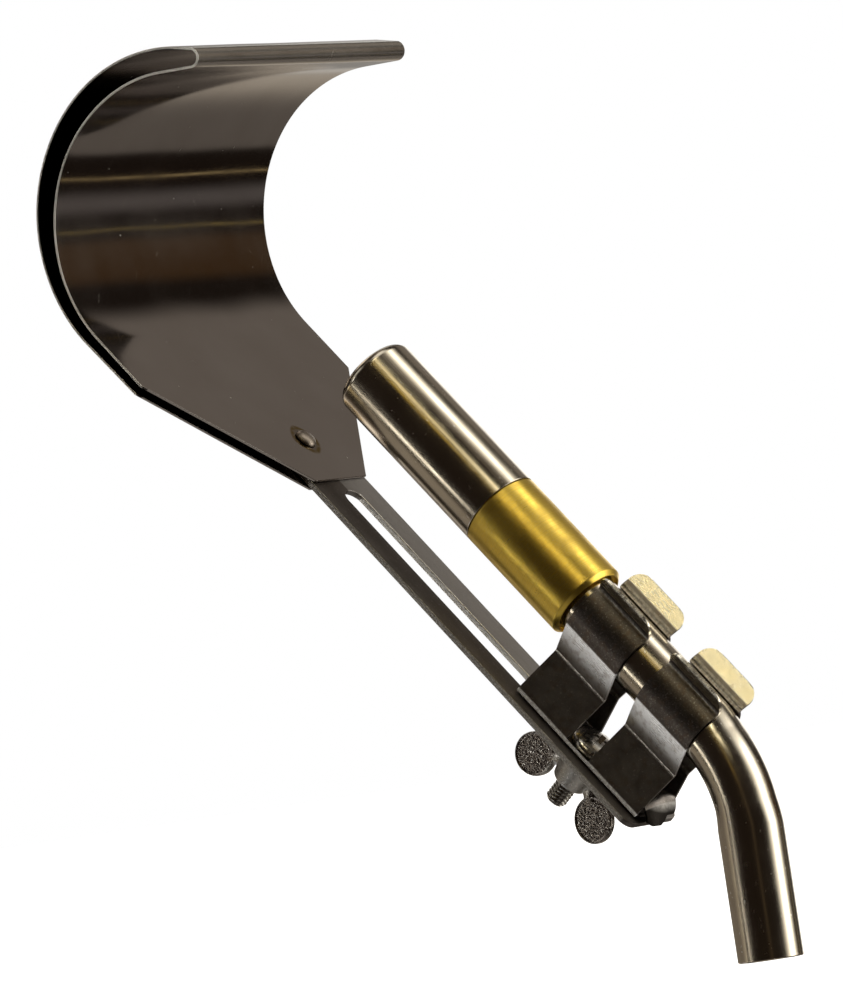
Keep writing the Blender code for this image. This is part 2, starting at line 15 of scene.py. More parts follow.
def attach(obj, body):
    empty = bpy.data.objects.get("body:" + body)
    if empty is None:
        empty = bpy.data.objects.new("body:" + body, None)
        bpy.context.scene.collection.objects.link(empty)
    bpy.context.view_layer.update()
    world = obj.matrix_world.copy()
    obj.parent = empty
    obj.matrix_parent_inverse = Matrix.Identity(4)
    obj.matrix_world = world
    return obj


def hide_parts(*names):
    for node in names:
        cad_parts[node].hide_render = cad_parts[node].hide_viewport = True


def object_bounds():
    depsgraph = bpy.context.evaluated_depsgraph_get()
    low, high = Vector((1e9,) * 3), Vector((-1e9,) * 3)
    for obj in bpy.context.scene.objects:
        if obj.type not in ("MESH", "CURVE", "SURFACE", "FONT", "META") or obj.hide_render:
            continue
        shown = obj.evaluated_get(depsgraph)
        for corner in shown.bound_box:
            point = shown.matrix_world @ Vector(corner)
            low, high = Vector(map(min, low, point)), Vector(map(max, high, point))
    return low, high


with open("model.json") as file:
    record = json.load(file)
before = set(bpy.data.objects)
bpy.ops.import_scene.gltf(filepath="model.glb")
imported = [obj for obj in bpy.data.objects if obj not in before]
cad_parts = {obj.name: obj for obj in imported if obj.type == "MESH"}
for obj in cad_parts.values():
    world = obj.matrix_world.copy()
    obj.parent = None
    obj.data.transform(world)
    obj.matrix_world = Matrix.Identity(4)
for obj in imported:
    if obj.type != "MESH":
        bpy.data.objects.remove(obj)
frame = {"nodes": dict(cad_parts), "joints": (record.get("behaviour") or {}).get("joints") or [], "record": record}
CAD_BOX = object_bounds()

MM = 0.001
RECORD = frame["record"]
BODY_OF = {node: body for body, nodes in RECORD["behaviour"]["bodies"].items() for node in nodes}
JOINTS = {joint["name"]: joint for joint in frame["joints"]}

# ---- frames and sizes taken from the CAD

FLAME_DIR = Vector(JOINTS["arm_slide"]["axis"])
CLAMP_UP = Vector(JOINTS["arm_swivel"]["axis"])
ACROSS = CLAMP_UP.cross(FLAME_DIR)
CLAMP_ORIGIN = Vector(JOINTS["arm_swivel"]["pos_m"])
AXIS_POINT = Vector(JOINTS["clip_swivel"]["pos_m"])
AXIS_HEIGHT = (AXIS_POINT - CLAMP_ORIGIN).length
UP = Vector((0, 0, 1))


def axes_at(origin, x_axis, y_axis, z_axis):
    turn = Matrix((x_axis, y_axis, z_axis)).transposed().to_4x4()
    return Matrix.Translation(origin) @ turn


CLAMP = axes_at(CLAMP_ORIGIN, FLAME_DIR, ACROSS, CLAMP_UP)
BARREL = axes_at(AXIS_POINT, ACROSS, CLAMP_UP, FLAME_DIR)
WORLD = Matrix.Identity(4)


def extent(node, direction, origin=CLAMP_ORIGIN):
    """Lowest and highest reach of a CAD node along a direction."""
    reaches = [(vertex.co - origin).dot(direction) for vertex in frame["nodes"][node].data.vertices]
    return min(reaches), max(reaches)


TUBE_START, TUBE_END = extent("flame_tube", FLAME_DIR)
BARREL_R = extent("flame_tube", ACROSS)[1]
COLLAR_START, SPIGOT_END = extent("brass_collar", FLAME_DIR)
NECK_END = extent("neck_tube", FLAME_DIR)[1]
NECK_R = extent("neck_tube", ACROSS)[1]
HOLDER_LOW, HOLDER_HIGH = extent("flame_holder", FLAME_DIR)
HOLDER_R = extent("flame_holder", ACROSS)[1]
VANE_LOW, VANE_HIGH = extent("swirl_vanes", FLAME_DIR)
VANE_R = extent("swirl_vanes", ACROSS)[1]
PIN_LOW, PIN_HIGH = extent("vane_pin", FLAME_DIR)
PIN_HEAD_R = extent("vane_pin", ACROSS)[1]
ARM_START, ARM_STOP = extent("slotted_arm", FLAME_DIR)
ARM_BACK = extent("slotted_arm", CLAMP_UP)[0]
ARM_HALF = extent("slotted_arm", ACROSS)[1]
TAB_START = extent("reflector_shell", FLAME_DIR)[0]
REFLECTOR_HALF = extent("reflector_shell", ACROSS)[1]
BOLT_END, BOLT_TOP = extent("clamp_bolt", CLAMP_UP)
WASHER_LOW, WASHER_HIGH = extent("plain_washer", CLAMP_UP)
NUT_TOP = extent("wing_nut", CLAMP_UP)[1]
CLIP_END = extent("spring_clip", FLAME_DIR)[1]
CARRIER_LOW, CARRIER_HIGH = extent("jet_carrier", UP, Vector())
THROAT_LOW, THROAT_HIGH = extent("mixing_throat", UP, Vector())

# Sizes that the pieces share with each other or with their materials.
GAP = 0.3 * MM
TUBE_WALL = 0.9 * MM
NECK_WALL = 1.2 * MM
BORE_R = NECK_R - NECK_WALL
LIP_R = 2.8 * MM
CLIP_SHEET = 0.7 * MM
WAIST_UP = 14.4 * MM
BAND_TOP = 24.3 * MM
THROAT_UP = 36.6 * MM
LIP_TIP = Vector((9.75 * MM, 41.5 * MM))
TAIL_START = -23.4 * MM
THREAD_R = 2.95 * MM
THREAD_PITCH = 1.0 * MM
WING_OUT = 12.3 * MM
WING_DOWN = -12.25 * MM
WING_R = 5.8 * MM
SLOT_HALF = 3.57 * MM
SLOT_LOW = -12.5 * MM
SLOT_HIGH = 99 * MM
RIVET_AT = 117.6 * MM
REFLECTOR_SHEET = 0.6 * MM
TAPER_END = 142.1 * MM
FOLD_ALONG = 185.65 * MM
FOLD_UP = 75.1 * MM


# ---- mesh helpers

def mesh_from(shape, name, crease=35):
    bmesh.ops.remove_doubles(shape, verts=shape.verts, dist=0.001 * MM)
    bmesh.ops.recalc_face_normals(shape, faces=shape.faces)
    mesh = bpy.data.meshes.new(name)
    shape.to_mesh(mesh)
    shape.free()
    mesh.shade_smooth()
    mesh.set_sharp_from_angle(angle=math.radians(crease))
    return mesh


def skinned(name, rings, loop=False, crease=35):
    """A surface through rings of equal count. Its ends are capped unless it closes on itself."""
    shape = bmesh.new()
    rows = [[shape.verts.new(point) for point in ring] for ring in rings]
    pairs = list(zip(rows, rows[1:]))
    if loop:
        pairs.append((rows[-1], rows[0]))
    for row, after in pairs:
        for one in range(len(row)):
            two = (one + 1) % len(row)
            shape.faces.new((row[one], row[two], after[two], after[one]))
    if not loop:
        shape.faces.new(rows[0][::-1])
        shape.faces.new(rows[-1])
    return mesh_from(shape, name, crease)


def turns_of(count):
    """Angles that divide a full turn evenly."""
    return [2 * math.pi * step / count for step in range(count)]


def turned(name, outline, hollow=True, steps=128):
    """Turns (radius, height) points about local z."""
    rings = [[(radius * math.cos(a), radius * math.sin(a), height) for a in turns_of(steps)]
             for radius, height in outline]
    return skinned(name, rings, loop=hollow)


def arc(centre, radius, start, end, steps):
    """Points on an arc, both ends included, with angles in degrees."""
    angles = [math.radians(start + (end - start) * step / steps) for step in range(steps + 1)]
    return [(centre[0] + radius * math.cos(a), centre[1] + radius * math.sin(a)) for a in angles]


def dome(radius, base, rise, angles):
    """Outline of a low dome, as (radius, height) points at angles in degrees from its top."""
    angles = [math.radians(angle) for angle in angles]
    return [(radius * math.sin(a), base + rise * math.cos(a)) for a in angles]


def rounded(outline, radius, closed=True, steps=5, least_turn=12):
    """The outline with each real corner eased by a short curve."""
    longest_share = 0.45
    points = [Vector(point) for point in outline]
    eased = []
    for index, corner in enumerate(points):
        before = points[index - 1] - corner
        after = points[(index + 1) % len(points)] - corner
        at_end = not closed and index in (0, len(points) - 1)
        turn = 0 if at_end else 180 - math.degrees(before.angle(after))
        if turn < least_turn:
            eased.append(tuple(corner))
            continue
        start = corner + before.normalized() * min(radius, before.length * longest_share)
        end = corner + after.normalized() * min(radius, after.length * longest_share)
        for step in range(steps + 1):
            t = step / steps
            eased.append(tuple((1 - t) ** 2 * start + 2 * t * (1 - t) * corner + t ** 2 * end))
    return eased


def holder_of(data):
    thing = bpy.data.objects.new(data.name, data)
    bpy.context.scene.collection.objects.link(thing)
    return thing


def settled(thing, *helpers):
    """Applies the object's modifiers, removes it and its helpers, and returns the mesh."""
    bpy.context.view_layer.update()
    graph = bpy.context.evaluated_depsgraph_get()
    mesh = bpy.data.meshes.new_from_object(thing.evaluated_get(graph))
    for old in (thing, *helpers):
        bpy.data.objects.remove(old)
    return mesh


def carved(mesh, *cutters, operation='DIFFERENCE'):
    thing = holder_of(mesh)
    helpers = [holder_of(cutter) for cutter in cutters]
    for helper in helpers:
        boolean = thing.modifiers.new("cut", 'BOOLEAN')
        boolean.operation = operation
        boolean.solver = 'EXACT'
        boolean.object = helper
    result = settled(thing, *helpers)
    result.set_sharp_from_angle(angle=math.radians(35))
    return result


def joined(name, meshes):
    shape = bmesh.new()
    for mesh in meshes:
        shape.from_mesh(mesh)
    result = bpy.data.meshes.new(name)
    shape.to_mesh(result)
    shape.free()
    return result


def moved(mesh, place):
    mesh.transform(place)
    return mesh


def ring_of_pins(radius, pitch_radius, count, low, high):
    """Round pins on a circle about local z, as one mesh, for cutting a ring of holes."""
    pins = []
    for angle in turns_of(count):
        pin = turned("pin", [(radius, low), (radius, high)], hollow=False, steps=32)
        pins.append(moved(pin, Matrix.Translation((pitch_radius * math.cos(angle),
                                                   pitch_radius * math.sin(angle), 0))))
    return joined("pins", pins)


def softened(thing, width):
    """Rounds the sharp edges of a piece and keeps its flats flat."""
    edge = thing.modifiers.new("edges", 'BEVEL')
    edge.width = width
    edge.segments = 2
    edge.limit_method = 'ANGLE'
    edge.angle_limit = math.radians(60)
    thing.modifiers.new("flats", 'WEIGHTED_NORMAL')


def sheeted(thing, thickness, offset):
    sheet = thing.modifiers.new("sheet", 'SOLIDIFY')
    sheet.thickness = thickness
    sheet.offset = offset
    sheet.use_even_offset = True


def stand_for(node, mesh, where, finish):
    """Puts a finished piece in place of its CAD node, on that node's body.

    The mesh keeps the coordinates it was made in as "place", which its material reads.
    """
    mesh.name = node + "_finished"
    mesh.materials.clear()
    mesh.materials.append(finish)
    made_at = [value for vertex in mesh.vertices for value in vertex.co]
    mesh.attributes.new("place", 'FLOAT_VECTOR', 'POINT').data.foreach_set("vector", made_at)
    mesh.transform(where)
    thing = holder_of(mesh)
    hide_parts(node)
    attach(thing, BODY_OF[node])
    return thing


def turned_piece(node, outline, ease, where, finish, hollow=True, steps=128):
    """A turned piece with eased corners, in place of its CAD node."""
    mesh = turned(node, rounded(outline, ease, closed=hollow), hollow, steps)
    stand_for(node, mesh, where, finish)


# ---- materials

class Graph:
    """A node tree, with a short call for each kind of node that the materials and the room use."""

    def __init__(self, tree):
        self.nodes, self.links = tree.nodes, tree.links

    def put(self, value, socket):
        """Links another node's output to the socket, or sets the socket's own value."""
        if isinstance(value, bpy.types.NodeSocket):
            self.links.new(value, socket)
        else:
            socket.default_value = value

    def node(self, kind, output, inputs, **settings):
        made = self.nodes.new("ShaderNode" + kind)
        for key, value in settings.items():
            setattr(made, key, value)
        for key, value in inputs.items():
            self.put(value, made.inputs[key])
        return made.outputs[output]

    def maths(self, operation, *values):
        return self.node("Math", 0, dict(enumerate(values)), operation=operation)

    def both(self, one, two):
        return self.maths('MULTIPLY', one, two)

    def off(self, value, middle):
        """How far a value is from the middle, on either side."""
        return self.maths('ABSOLUTE', self.maths('SUBTRACT', value, middle))

    def between(self, value, low, high, to_low=0.0, to_high=1.0, curve='LINEAR'):
        """Goes from to_low at low to to_high at high, and no further."""
        inputs = {"Value": value, "From Min": low, "From Max": high, "To Min": to_low, "To Max": to_high}
        return self.node("MapRange", "Result", inputs, interpolation_type=curve)

    def span(self, value, start, full, fade, end):
        """One from full to fade, going down to zero at start and at end."""
        return self.both(self.between(value, start, full), self.between(value, end, fade))

    def mixed(self, below, colour, share, blend='MIX'):
        inputs = {"Factor": share, "A": below, "B": (*colour, 1)}
        return self.node("Mix", "Result", inputs, data_type='RGBA', blend_type=blend)


class Finish(Graph):
    """A metal built from layers of noise in the piece's own coordinates."""

    def __init__(self, name, colour, roughness):
        self.made = bpy.data.materials.new(name)
        self.made.use_nodes = True
        super().__init__(self.made.node_tree)
        self.place = self.node("Attribute", "Vector", {}, attribute_name="place")
        self.along, self.side, self.up = [self.node("SeparateXYZ", axis, {0: self.place}) for axis in "XYZ"]
        self.colour = (*colour, 1)
        self.rough = roughness
        self.metal = 1.0
        self.height = 0.0

    def noise(self, per_mm, detail=4, low=0.35, high=0.65, turn=0.0, offset=0.0):
        """Noise whose raw values from low to high become 0 to 1.

        Its scale is in cells per millimetre, one number for all round or one for each axis.
        """
        cells = per_mm if isinstance(per_mm, tuple) else (per_mm,) * 3
        place = self.place
        if turn:
            place = self.node("Mapping", 0, {"Vector": place, "Rotation": (0, 0, turn)})
        place = self.node("Mapping", 0, {"Vector": place, "Scale": [count / MM for count in cells],
                                         "Location": (offset, offset * 0.7, offset * 0.4)})
        made = self.node("TexNoise", "Fac", {"Vector": place, "Scale": 1, "Detail": detail})
        return self.between(made, low, high)

    def tint(self, mask, colour, strength=1.0):
        """Lays a colour over the one below where the mask is high."""
        self.colour = self.mixed(self.colour, colour, self.both(mask, strength))
        return self

    def dull(self, mask, amount):
        """Adds to the roughness where the mask is high."""
        self.rough = self.maths('MULTIPLY_ADD', mask, amount, self.rough)
        return self

    def satin(self, mask, amount):
        """Makes the metal whiter and less mirror-like where the mask is high."""
        self.metal = self.maths('MULTIPLY_ADD', mask, -amount, self.metal)
        return self

    def raise_by(self, mask, millimetres):
        self.height = self.maths('MULTIPLY_ADD', mask, millimetres * MM, self.height)
        return self

    def done(self):
        bump = self.node("Bump", "Normal", {"Height": self.height, "Strength": 1, "Distance": 1})
        for name, value in (("Base Color", self.colour), ("Roughness", self.rough),
                            ("Metallic", self.metal), ("Normal", bump)):
            self.put(value, self.nodes["Principled BSDF"].inputs[name])
        return self.made


def drawn_steel(name, roughness):
    """Polished tube with fine marks along local z, light handling scratches and warm stains."""
    finish = Finish(name, (0.60, 0.55, 0.465), roughness)
    lines = finish.noise((5.0, 5.0, 0.03), 3, 0.3, 0.7)
    clouds = finish.noise(0.12, detail=5)
    nicks = finish.noise((1.1, 1.1, 0.5), 6, 0.66, 0.74, turn=0.5)
    finish.tint(clouds, (0.50, 0.43, 0.33), 0.35).tint(nicks, (0.85, 0.80, 0.72), 0.5)
    finish.dull(lines, 0.08).dull(clouds, 0.06).dull(nicks, 0.15)
    finish.raise_by(lines, 0.0012).raise_by(nicks, 0.002)
    return finish.done()


def turned_brass(name, colour=(0.98, 0.70, 0.11), roughness=0.27):
    """Brass with lathe marks round the axis, which is local z."""
    finish = Finish(name, colour, roughness)
    marks = finish.noise((0.05, 0.05, 6.0), low=0.3, high=0.7)
    grain = finish.noise((1.6, 1.6, 3.5), 5, 0.4, 0.7)
    stains = finish.noise((0.16, 0.16, 0.10), 6, 0.45, 0.7)
    finish.tint(marks, (0.55, 0.37, 0.07), 0.35).tint(grain, (0.90, 0.72, 0.30), 0.25)
    finish.tint(stains, (0.45, 0.30, 0.07), 0.4).dull(marks, 0.10).dull(stains, 0.12)
    finish.raise_by(marks, 0.004).raise_by(grain, 0.002)
    return finish.done()


def spring_steel(name):
    """Oil-blackened strip, worn bare on its lips and tail, with painted highlights on its bands, bends and lip
    edges and painted shade under its tongue.
    """
    finish = Finish(name, (0.27, 0.25, 0.24), 0.32)
    clouds = finish.noise(0.22, detail=6)
    grain = finish.noise((0.4, 3.2, 3.2))
    specks = finish.noise(1.8, 3, 0.62, 0.7)
    rust = finish.noise(0.5, 5, 0.5, 0.68, offset=5)
    speckle = finish.noise(3.4, 3, 0.45, 0.62, offset=4)
    chips = finish.noise(1.3, low=0.42, high=0.58, offset=9)

    # Where the parts of the clip are.
    up = finish.up
    lips = finish.between(up, LIP_TIP.y - 3.6 * MM, LIP_TIP.y - 3.2 * MM)
    # rim: the lips' outer edge, worn bare and also painted near white as a painted highlight, broken by speckle.
    rim = finish.both(finish.between(up, LIP_TIP.y - 0.8 * MM, LIP_TIP.y - 0.5 * MM), speckle)
    tail = finish.between(finish.along, TAIL_START - 0.1 * MM, TAIL_START - 0.5 * MM)
    # under is the tongue's lower face, which is painted near black as painted shade. ridge is the rest of the
    # tongue, and its satin below is part of its painted highlight.
    under = finish.both(tail, finish.between(up, 4.6 * MM, 2.8 * MM))
    ridge = finish.both(tail, finish.maths('SUBTRACT', 1, under))
    # band: the straight stretches between waist and hug. They get a near-white painted highlight, and their upper
    # part a less mirror-like metal so that it catches light as well.
    band = finish.span(up, WAIST_UP + 0.3 * MM, WAIST_UP + 4.5 * MM,
                       BAND_TOP - 0.15 * MM, BAND_TOP + 0.25 * MM)
    upper_band = finish.both(band, finish.between(up, WAIST_UP + 3.0 * MM, BAND_TOP))
    hug = finish.span(up, BAND_TOP - 0.1 * MM, BAND_TOP + 0.5 * MM, THROAT_UP - 1.5 * MM, THROAT_UP)
    # waist, throat and foot are thin strips along the clip's bends. Together they are painted bright as painted
    # highlights, broken up by the chips noise.
    waist = finish.between(finish.off(up, WAIST_UP), 0.5 * MM, 0.2 * MM)
    throat = finish.between(finish.off(up, THROAT_UP), 0.8 * MM, 0.2 * MM)
    foot = finish.both(finish.between(up, 1.8 * MM, 1.5 * MM),
                       finish.between(finish.off(finish.side, 0), 7.6 * MM, 7.9 * MM))
    foot_edge = finish.both(foot, finish.between(up, 0.55 * MM, 0.75 * MM))
    bends = finish.maths('ADD', finish.maths('ADD', waist, throat), foot)
    painted_bend_highlight = finish.both(bends, finish.between(chips, 0, 1, 0.5, 1))

    finish.tint(clouds, (0.20, 0.178, 0.162), 0.6).tint(hug, (0.085, 0.070, 0.062), 0.78)
    finish.tint(finish.both(hug, finish.both(chips, speckle)), (0.30, 0.28, 0.26), 0.45)
    # The bands' near-white tint is a painted highlight.
    finish.tint(band, (0.86, 0.87, 0.88), 0.95).tint(rust, (0.18, 0.12, 0.075), 0.4)
    # The near-white tint on the bends is a painted highlight.
    finish.tint(specks, (0.55, 0.52, 0.48), 0.5).tint(painted_bend_highlight, (0.90, 0.88, 0.84), 0.95)
    finish.tint(lips, (0.97, 0.93, 0.82), 0.97).tint(tail, (0.56, 0.545, 0.525), 0.95)
    # The rim's near-white tint is partly a painted highlight.
    finish.tint(rim, (0.96, 0.94, 0.88), 0.8).tint(finish.both(lips, speckle), (0.78, 0.70, 0.50), 0.5)
    finish.tint(finish.both(finish.both(tail, clouds), chips), (0.20, 0.185, 0.17), 0.6)
    # Painted shade: the tongue's lower face is painted near black.
    finish.tint(under, (0.024, 0.021, 0.019))
    finish.dull(clouds, 0.10).dull(grain, 0.08).dull(painted_bend_highlight, -0.10).dull(band, -0.10)
    finish.dull(lips, -0.19).dull(tail, 0.06)
    # Less metal on the tongue's ridge, the upper bands, the foot edge and the lip rim lets their pale colour catch
    # light diffusely. This is part of their painted highlights.
    finish.satin(ridge, 0.40).satin(upper_band, 0.52).satin(foot_edge, 0.45).satin(rim, 0.35)
    finish.raise_by(grain, 0.003).raise_by(clouds, 0.01).raise_by(specks, 0.006)
    finish.raise_by(finish.both(finish.maths('ADD', lips, tail), speckle), 0.006)
    return finish.done()


def zinc_plate(name, colour=(0.62, 0.61, 0.58), roughness=0.2, grain=1.4):
    """Bright zinc with a fine crystalline sparkle."""
    finish = Finish(name, colour, roughness)
    crystals = finish.noise(grain, 5, 0.3, 0.7)
    stains = finish.noise(0.3, low=0.5, high=0.7)
    finish.tint(crystals, (0.42, 0.41, 0.38), 0.5).tint(stains, (0.35, 0.32, 0.27), 0.35)
    finish.dull(crystals, 0.15).dull(stains, 0.1)
    finish.raise_by(crystals, 0.02)
    return finish.done()


def wing_zinc(name):
    """Cast zinc, grey on the hub and darker with a broken sparkle on the wings' stippled faces."""
    finish = Finish(name, (0.50, 0.485, 0.46), 0.24)
    crystals = finish.noise(1.3, 5, 0.3, 0.7)
    sparks = finish.noise(1.9, 2, 0.56, 0.64, offset=6)
    wings = finish.between(finish.off(finish.along, 0), 6.6 * MM, 7.6 * MM)
    finish.tint(crystals, (0.36, 0.35, 0.33), 0.5).tint(wings, (0.17, 0.145, 0.128), 0.9)
    finish.tint(finish.both(wings, sparks), (0.80, 0.78, 0.74), 0.9)
    finish.dull(crystals, 0.14).dull(wings, -0.08)
    finish.raise_by(crystals, 0.012).raise_by(sparks, 0.03)
    return finish.done()


def strip_steel(name):
    """The arm's satin strip, with the barrel's shadow painted darker on the near side of the slot, a painted
    highlight along the slot's far edge, and deburred, pitted edges.
    """
    finish = Finish(name, (0.335, 0.315, 0.305), 0.42)
    lines = finish.noise((0.15, 4.5, 4.5))
    speckle = finish.noise((1.6, 3.0, 3.0), low=0.45, high=0.62, offset=2)
    clouds = finish.noise((0.10, 0.25, 0.25), detail=6)
    pits = finish.noise(1.5, 3, 0.6, 0.72)
    side = finish.side
    aside = finish.off(side, 0)
    # near: painted shadow of the barrel, darker on the near side of the slot and fading to half towards the near
    # edge.
    near = finish.both(finish.between(side, -0.2 * MM, 0.2 * MM),
                       finish.between(side, ARM_HALF, ARM_HALF - 5 * MM, 0.5, 1))
    # slot: a strip along the slot's far edge, painted near white as a painted highlight, stopping short of the
    # slot's end.
    slot = finish.both(finish.between(aside, SLOT_HALF + 0.30 * MM, SLOT_HALF + 0.12 * MM),
                       finish.between(side, 0.2 * MM, -0.2 * MM))
    slot = finish.both(slot, finish.between(finish.along, SLOT_HIGH - 1.5 * MM, SLOT_HIGH - 2 * MM))
    edges = finish.between(aside, ARM_HALF - 0.20 * MM, ARM_HALF - 0.08 * MM)
    # The near side's dark tint is a painted shadow of the barrel.
    finish.tint(clouds, (0.25, 0.24, 0.235), 0.5).tint(near, (0.105, 0.085, 0.072), 0.75)
    finish.tint(pits, (0.46, 0.45, 0.43), 0.35).tint(edges, (0.42, 0.40, 0.375), 0.7)
    finish.tint(finish.both(edges, speckle), (0.80, 0.78, 0.74), 0.6)
    # The slot's near-white tint is a painted highlight.
    finish.tint(slot, (0.95, 0.94, 0.92), 0.95).dull(slot, -0.16).dull(lines, 0.1).dull(clouds, 0.08)
    finish.raise_by(lines, 0.003).raise_by(pits, 0.008)
    return finish.done()


def reflector_steel(name):
    """Brown-grey rolled sheet with a few scratches and specks, a paler hem and bare cut edges that are also
    painted near white as a painted highlight.
    """
    finish = Finish(name, (0.415, 0.385, 0.365), 0.075)
    clouds = finish.noise(0.045, detail=6)
    grain = finish.noise(2.2)
    scratch_one = finish.noise((0.10, 3.4, 0.10), 1, 0.765, 0.82, turn=0.65)
    scratch_two = finish.noise((0.08, 2.6, 0.08), 1, 0.775, 0.83, turn=-0.9, offset=7)
    specks = finish.noise(0.8, 1, 0.80, 0.82, offset=3)
    # cut: the sheet's cut edges, bare metal that is also painted near white as a painted highlight.
    cut = finish.between(finish.off(finish.side, 0), REFLECTOR_HALF - 0.20 * MM, REFLECTOR_HALF - 0.10 * MM)
    from_fold = finish.maths('ADD', finish.maths('POWER', finish.off(finish.along, FOLD_ALONG), 2),
                             finish.maths('POWER', finish.off(finish.up, FOLD_UP), 2))
    hem = finish.between(from_fold, (3.1 * MM) ** 2, (2.8 * MM) ** 2)
    crest = finish.both(hem, finish.between(finish.up, FOLD_UP + 1.6 * MM, FOLD_UP + 2.2 * MM))
    finish.tint(clouds, (0.345, 0.31, 0.285), 0.5).tint(scratch_one, (0.62, 0.58, 0.52), 0.30)
    finish.tint(scratch_two, (0.62, 0.58, 0.52), 0.25).tint(specks, (0.62, 0.60, 0.55), 0.5)
    heat_tint(finish)
    finish.tint(hem, (0.43, 0.40, 0.36), 0.9).tint(cut, (0.92, 0.90, 0.86), 0.95)
    finish.dull(hem, 0.07).dull(cut, 0.25).dull(clouds, 0.05).dull(grain, 0.03)
    finish.dull(scratch_one, 0.15).dull(scratch_two, 0.15).dull(specks, 0.4)
    finish.satin(hem, 0.05).satin(crest, 0.12)
    finish.raise_by(grain, 0.0004)
    return finish.done()


def heat_tint(finish):
    """A brown ring round the rivet, drawn out to a point on either side along the arm."""
    pointed = 1.6
    along = finish.both(finish.off(finish.along, RIVET_AT), 1 / (5.3 * MM))
    across = finish.both(finish.off(finish.side, 0), 1 / (4.8 * MM))
    far = finish.maths('ADD', finish.maths('POWER', along, pointed), finish.maths('POWER', across, pointed))
    ring = finish.span(far, 0.52, 0.72, 0.92, 1.12)
    blotch = finish.noise(0.8, low=0.2, high=0.5)
    finish.tint(finish.between(far, 0.85, 0.55), (0.19, 0.155, 0.125), 0.75)
    finish.tint(finish.both(ring, blotch), (0.19, 0.125, 0.022))


def plain_metal(name, colour, roughness, grain=1.5, depth=0.004):
    """For the small inner pieces."""
    finish = Finish(name, colour, roughness)
    cells = finish.noise(grain, detail=5)
    finish.tint(cells, [0.6 * value for value in colour], 0.5).dull(cells, 0.15).raise_by(cells, depth)
    return finish.done()


# ---- neck and burner

def sleeve(radius, hole_r, low, high):
    """Outline of a plain ring."""
    return [(radius, high), (radius, low), (hole_r, low), (hole_r, high)]


def neck_ring(centre, heading, radius, flat):
    """A ring round the neck, thinner in the plane of the bend by the share flat."""
    side = Vector((0, 1, 0))
    out = side.cross(heading).normalized()
    return [centre + radius * ((1 - flat) * math.cos(a) * out + math.sin(a) * side) for a in turns_of(96)]


def neck_stations():
    """Places along the neck's centre line with the heading and how far it is flattened there."""
    bend = FLAME_DIR.angle(UP)
    bend_r = 42 * MM
    flattest = 0.075
    steps = 48
    corner_height = AXIS_POINT - AXIS_POINT.dot(FLAME_DIR) * FLAME_DIR
    corner = Vector((0, 0, corner_height.length / math.sin(bend)))
    tangent = bend_r * math.tan(bend / 2)
    centre = corner - tangent * UP - bend_r * Vector((1, 0, 0))
    stations = [(Vector((0, 0, z * MM)), UP, 0.0) for z in (0, 0.3, 8, 16, 24)]
    for step in range(steps + 1):
        share = step / steps
        angle = bend * share
        place = centre + bend_r * Vector((math.cos(angle), 0, math.sin(angle)))
        heading = Vector((-math.sin(angle), 0, math.cos(angle)))
        stations.append((place, heading, flattest * min(1.0, 5 * share, 5 * (1 - share))))
    straight = CLAMP_ORIGIN + AXIS_HEIGHT * CLAMP_UP
    for along in (-18 * MM, 0, 20 * MM, NECK_END - 0.3 * MM, NECK_END):
        stations.append((straight + along * FLAME_DIR, FLAME_DIR, 0.0))
    return stations


def make_neck():
    ease = 0.25 * MM
    stations = neck_stations()
    ends = (0, len(stations) - 1)
    outer = []
    inner = []
    for index, (place, heading, flat) in enumerate(stations):
        trim = ease if index in ends else 0
        outer.append(neck_ring(place, heading, NECK_R - trim, flat))
        inner.append(neck_ring(place, heading, BORE_R + trim, flat))
    mesh = skinned("neck", outer + inner[::-1], loop=True)
    stand_for("neck_tube", mesh, WORLD, drawn_steel("neck_steel", 0.13))


def make_collar():
    barrel_end = TUBE_START - GAP
    recess_r = 9.7 * MM
    recess = 1.4 * MM
    spigot_r = 9.9 * MM
    chamfer = 1.1 * MM
    bore_r = NECK_R + GAP
    seat = NECK_END + GAP
    outline = [(spigot_r, SPIGOT_END), (spigot_r, barrel_end), (BARREL_R, barrel_end),
               (BARREL_R, COLLAR_START + chamfer), (BARREL_R - chamfer, COLLAR_START),
               (recess_r, COLLAR_START), (recess_r, COLLAR_START + recess),
               (bore_r, COLLAR_START + recess), (bore_r, seat), (BORE_R, seat), (BORE_R, SPIGOT_END)]
    turned_piece("brass_collar", outline, 0.25 * MM, BARREL, turned_brass("collar_brass"), steps=160)


def make_flame_tube():
    centre = (BARREL_R - LIP_R, TUBE_END - LIP_R)
    outline = arc(centre, LIP_R, 90, 0, 16)
    outline += [(BARREL_R, TUBE_START), (BARREL_R - TUBE_WALL, TUBE_START)]
    outline += arc(centre, LIP_R - TUBE_WALL, 0, 90, 16)
    steel = drawn_steel("flame_tube_steel", 0.12)
    turned_piece("flame_tube", outline, 0.2 * MM, BARREL, steel, steps=160)


def make_flame_holder():
    hole_r = PIN_HEAD_R - 1.2 * MM + GAP
    disc = turned("flame_holder", rounded(sleeve(HOLDER_R, hole_r, HOLDER_LOW, HOLDER_HIGH), 0.2 * MM))
    ports = ring_of_pins(1.5 * MM, 5.3 * MM, 8, HOLDER_LOW - MM, HOLDER_HIGH + MM)
    brass = plain_metal("holder_brass", (0.62, 0.45, 0.16), 0.35)
    stand_for("flame_holder", carved(disc, ports), BARREL, brass)


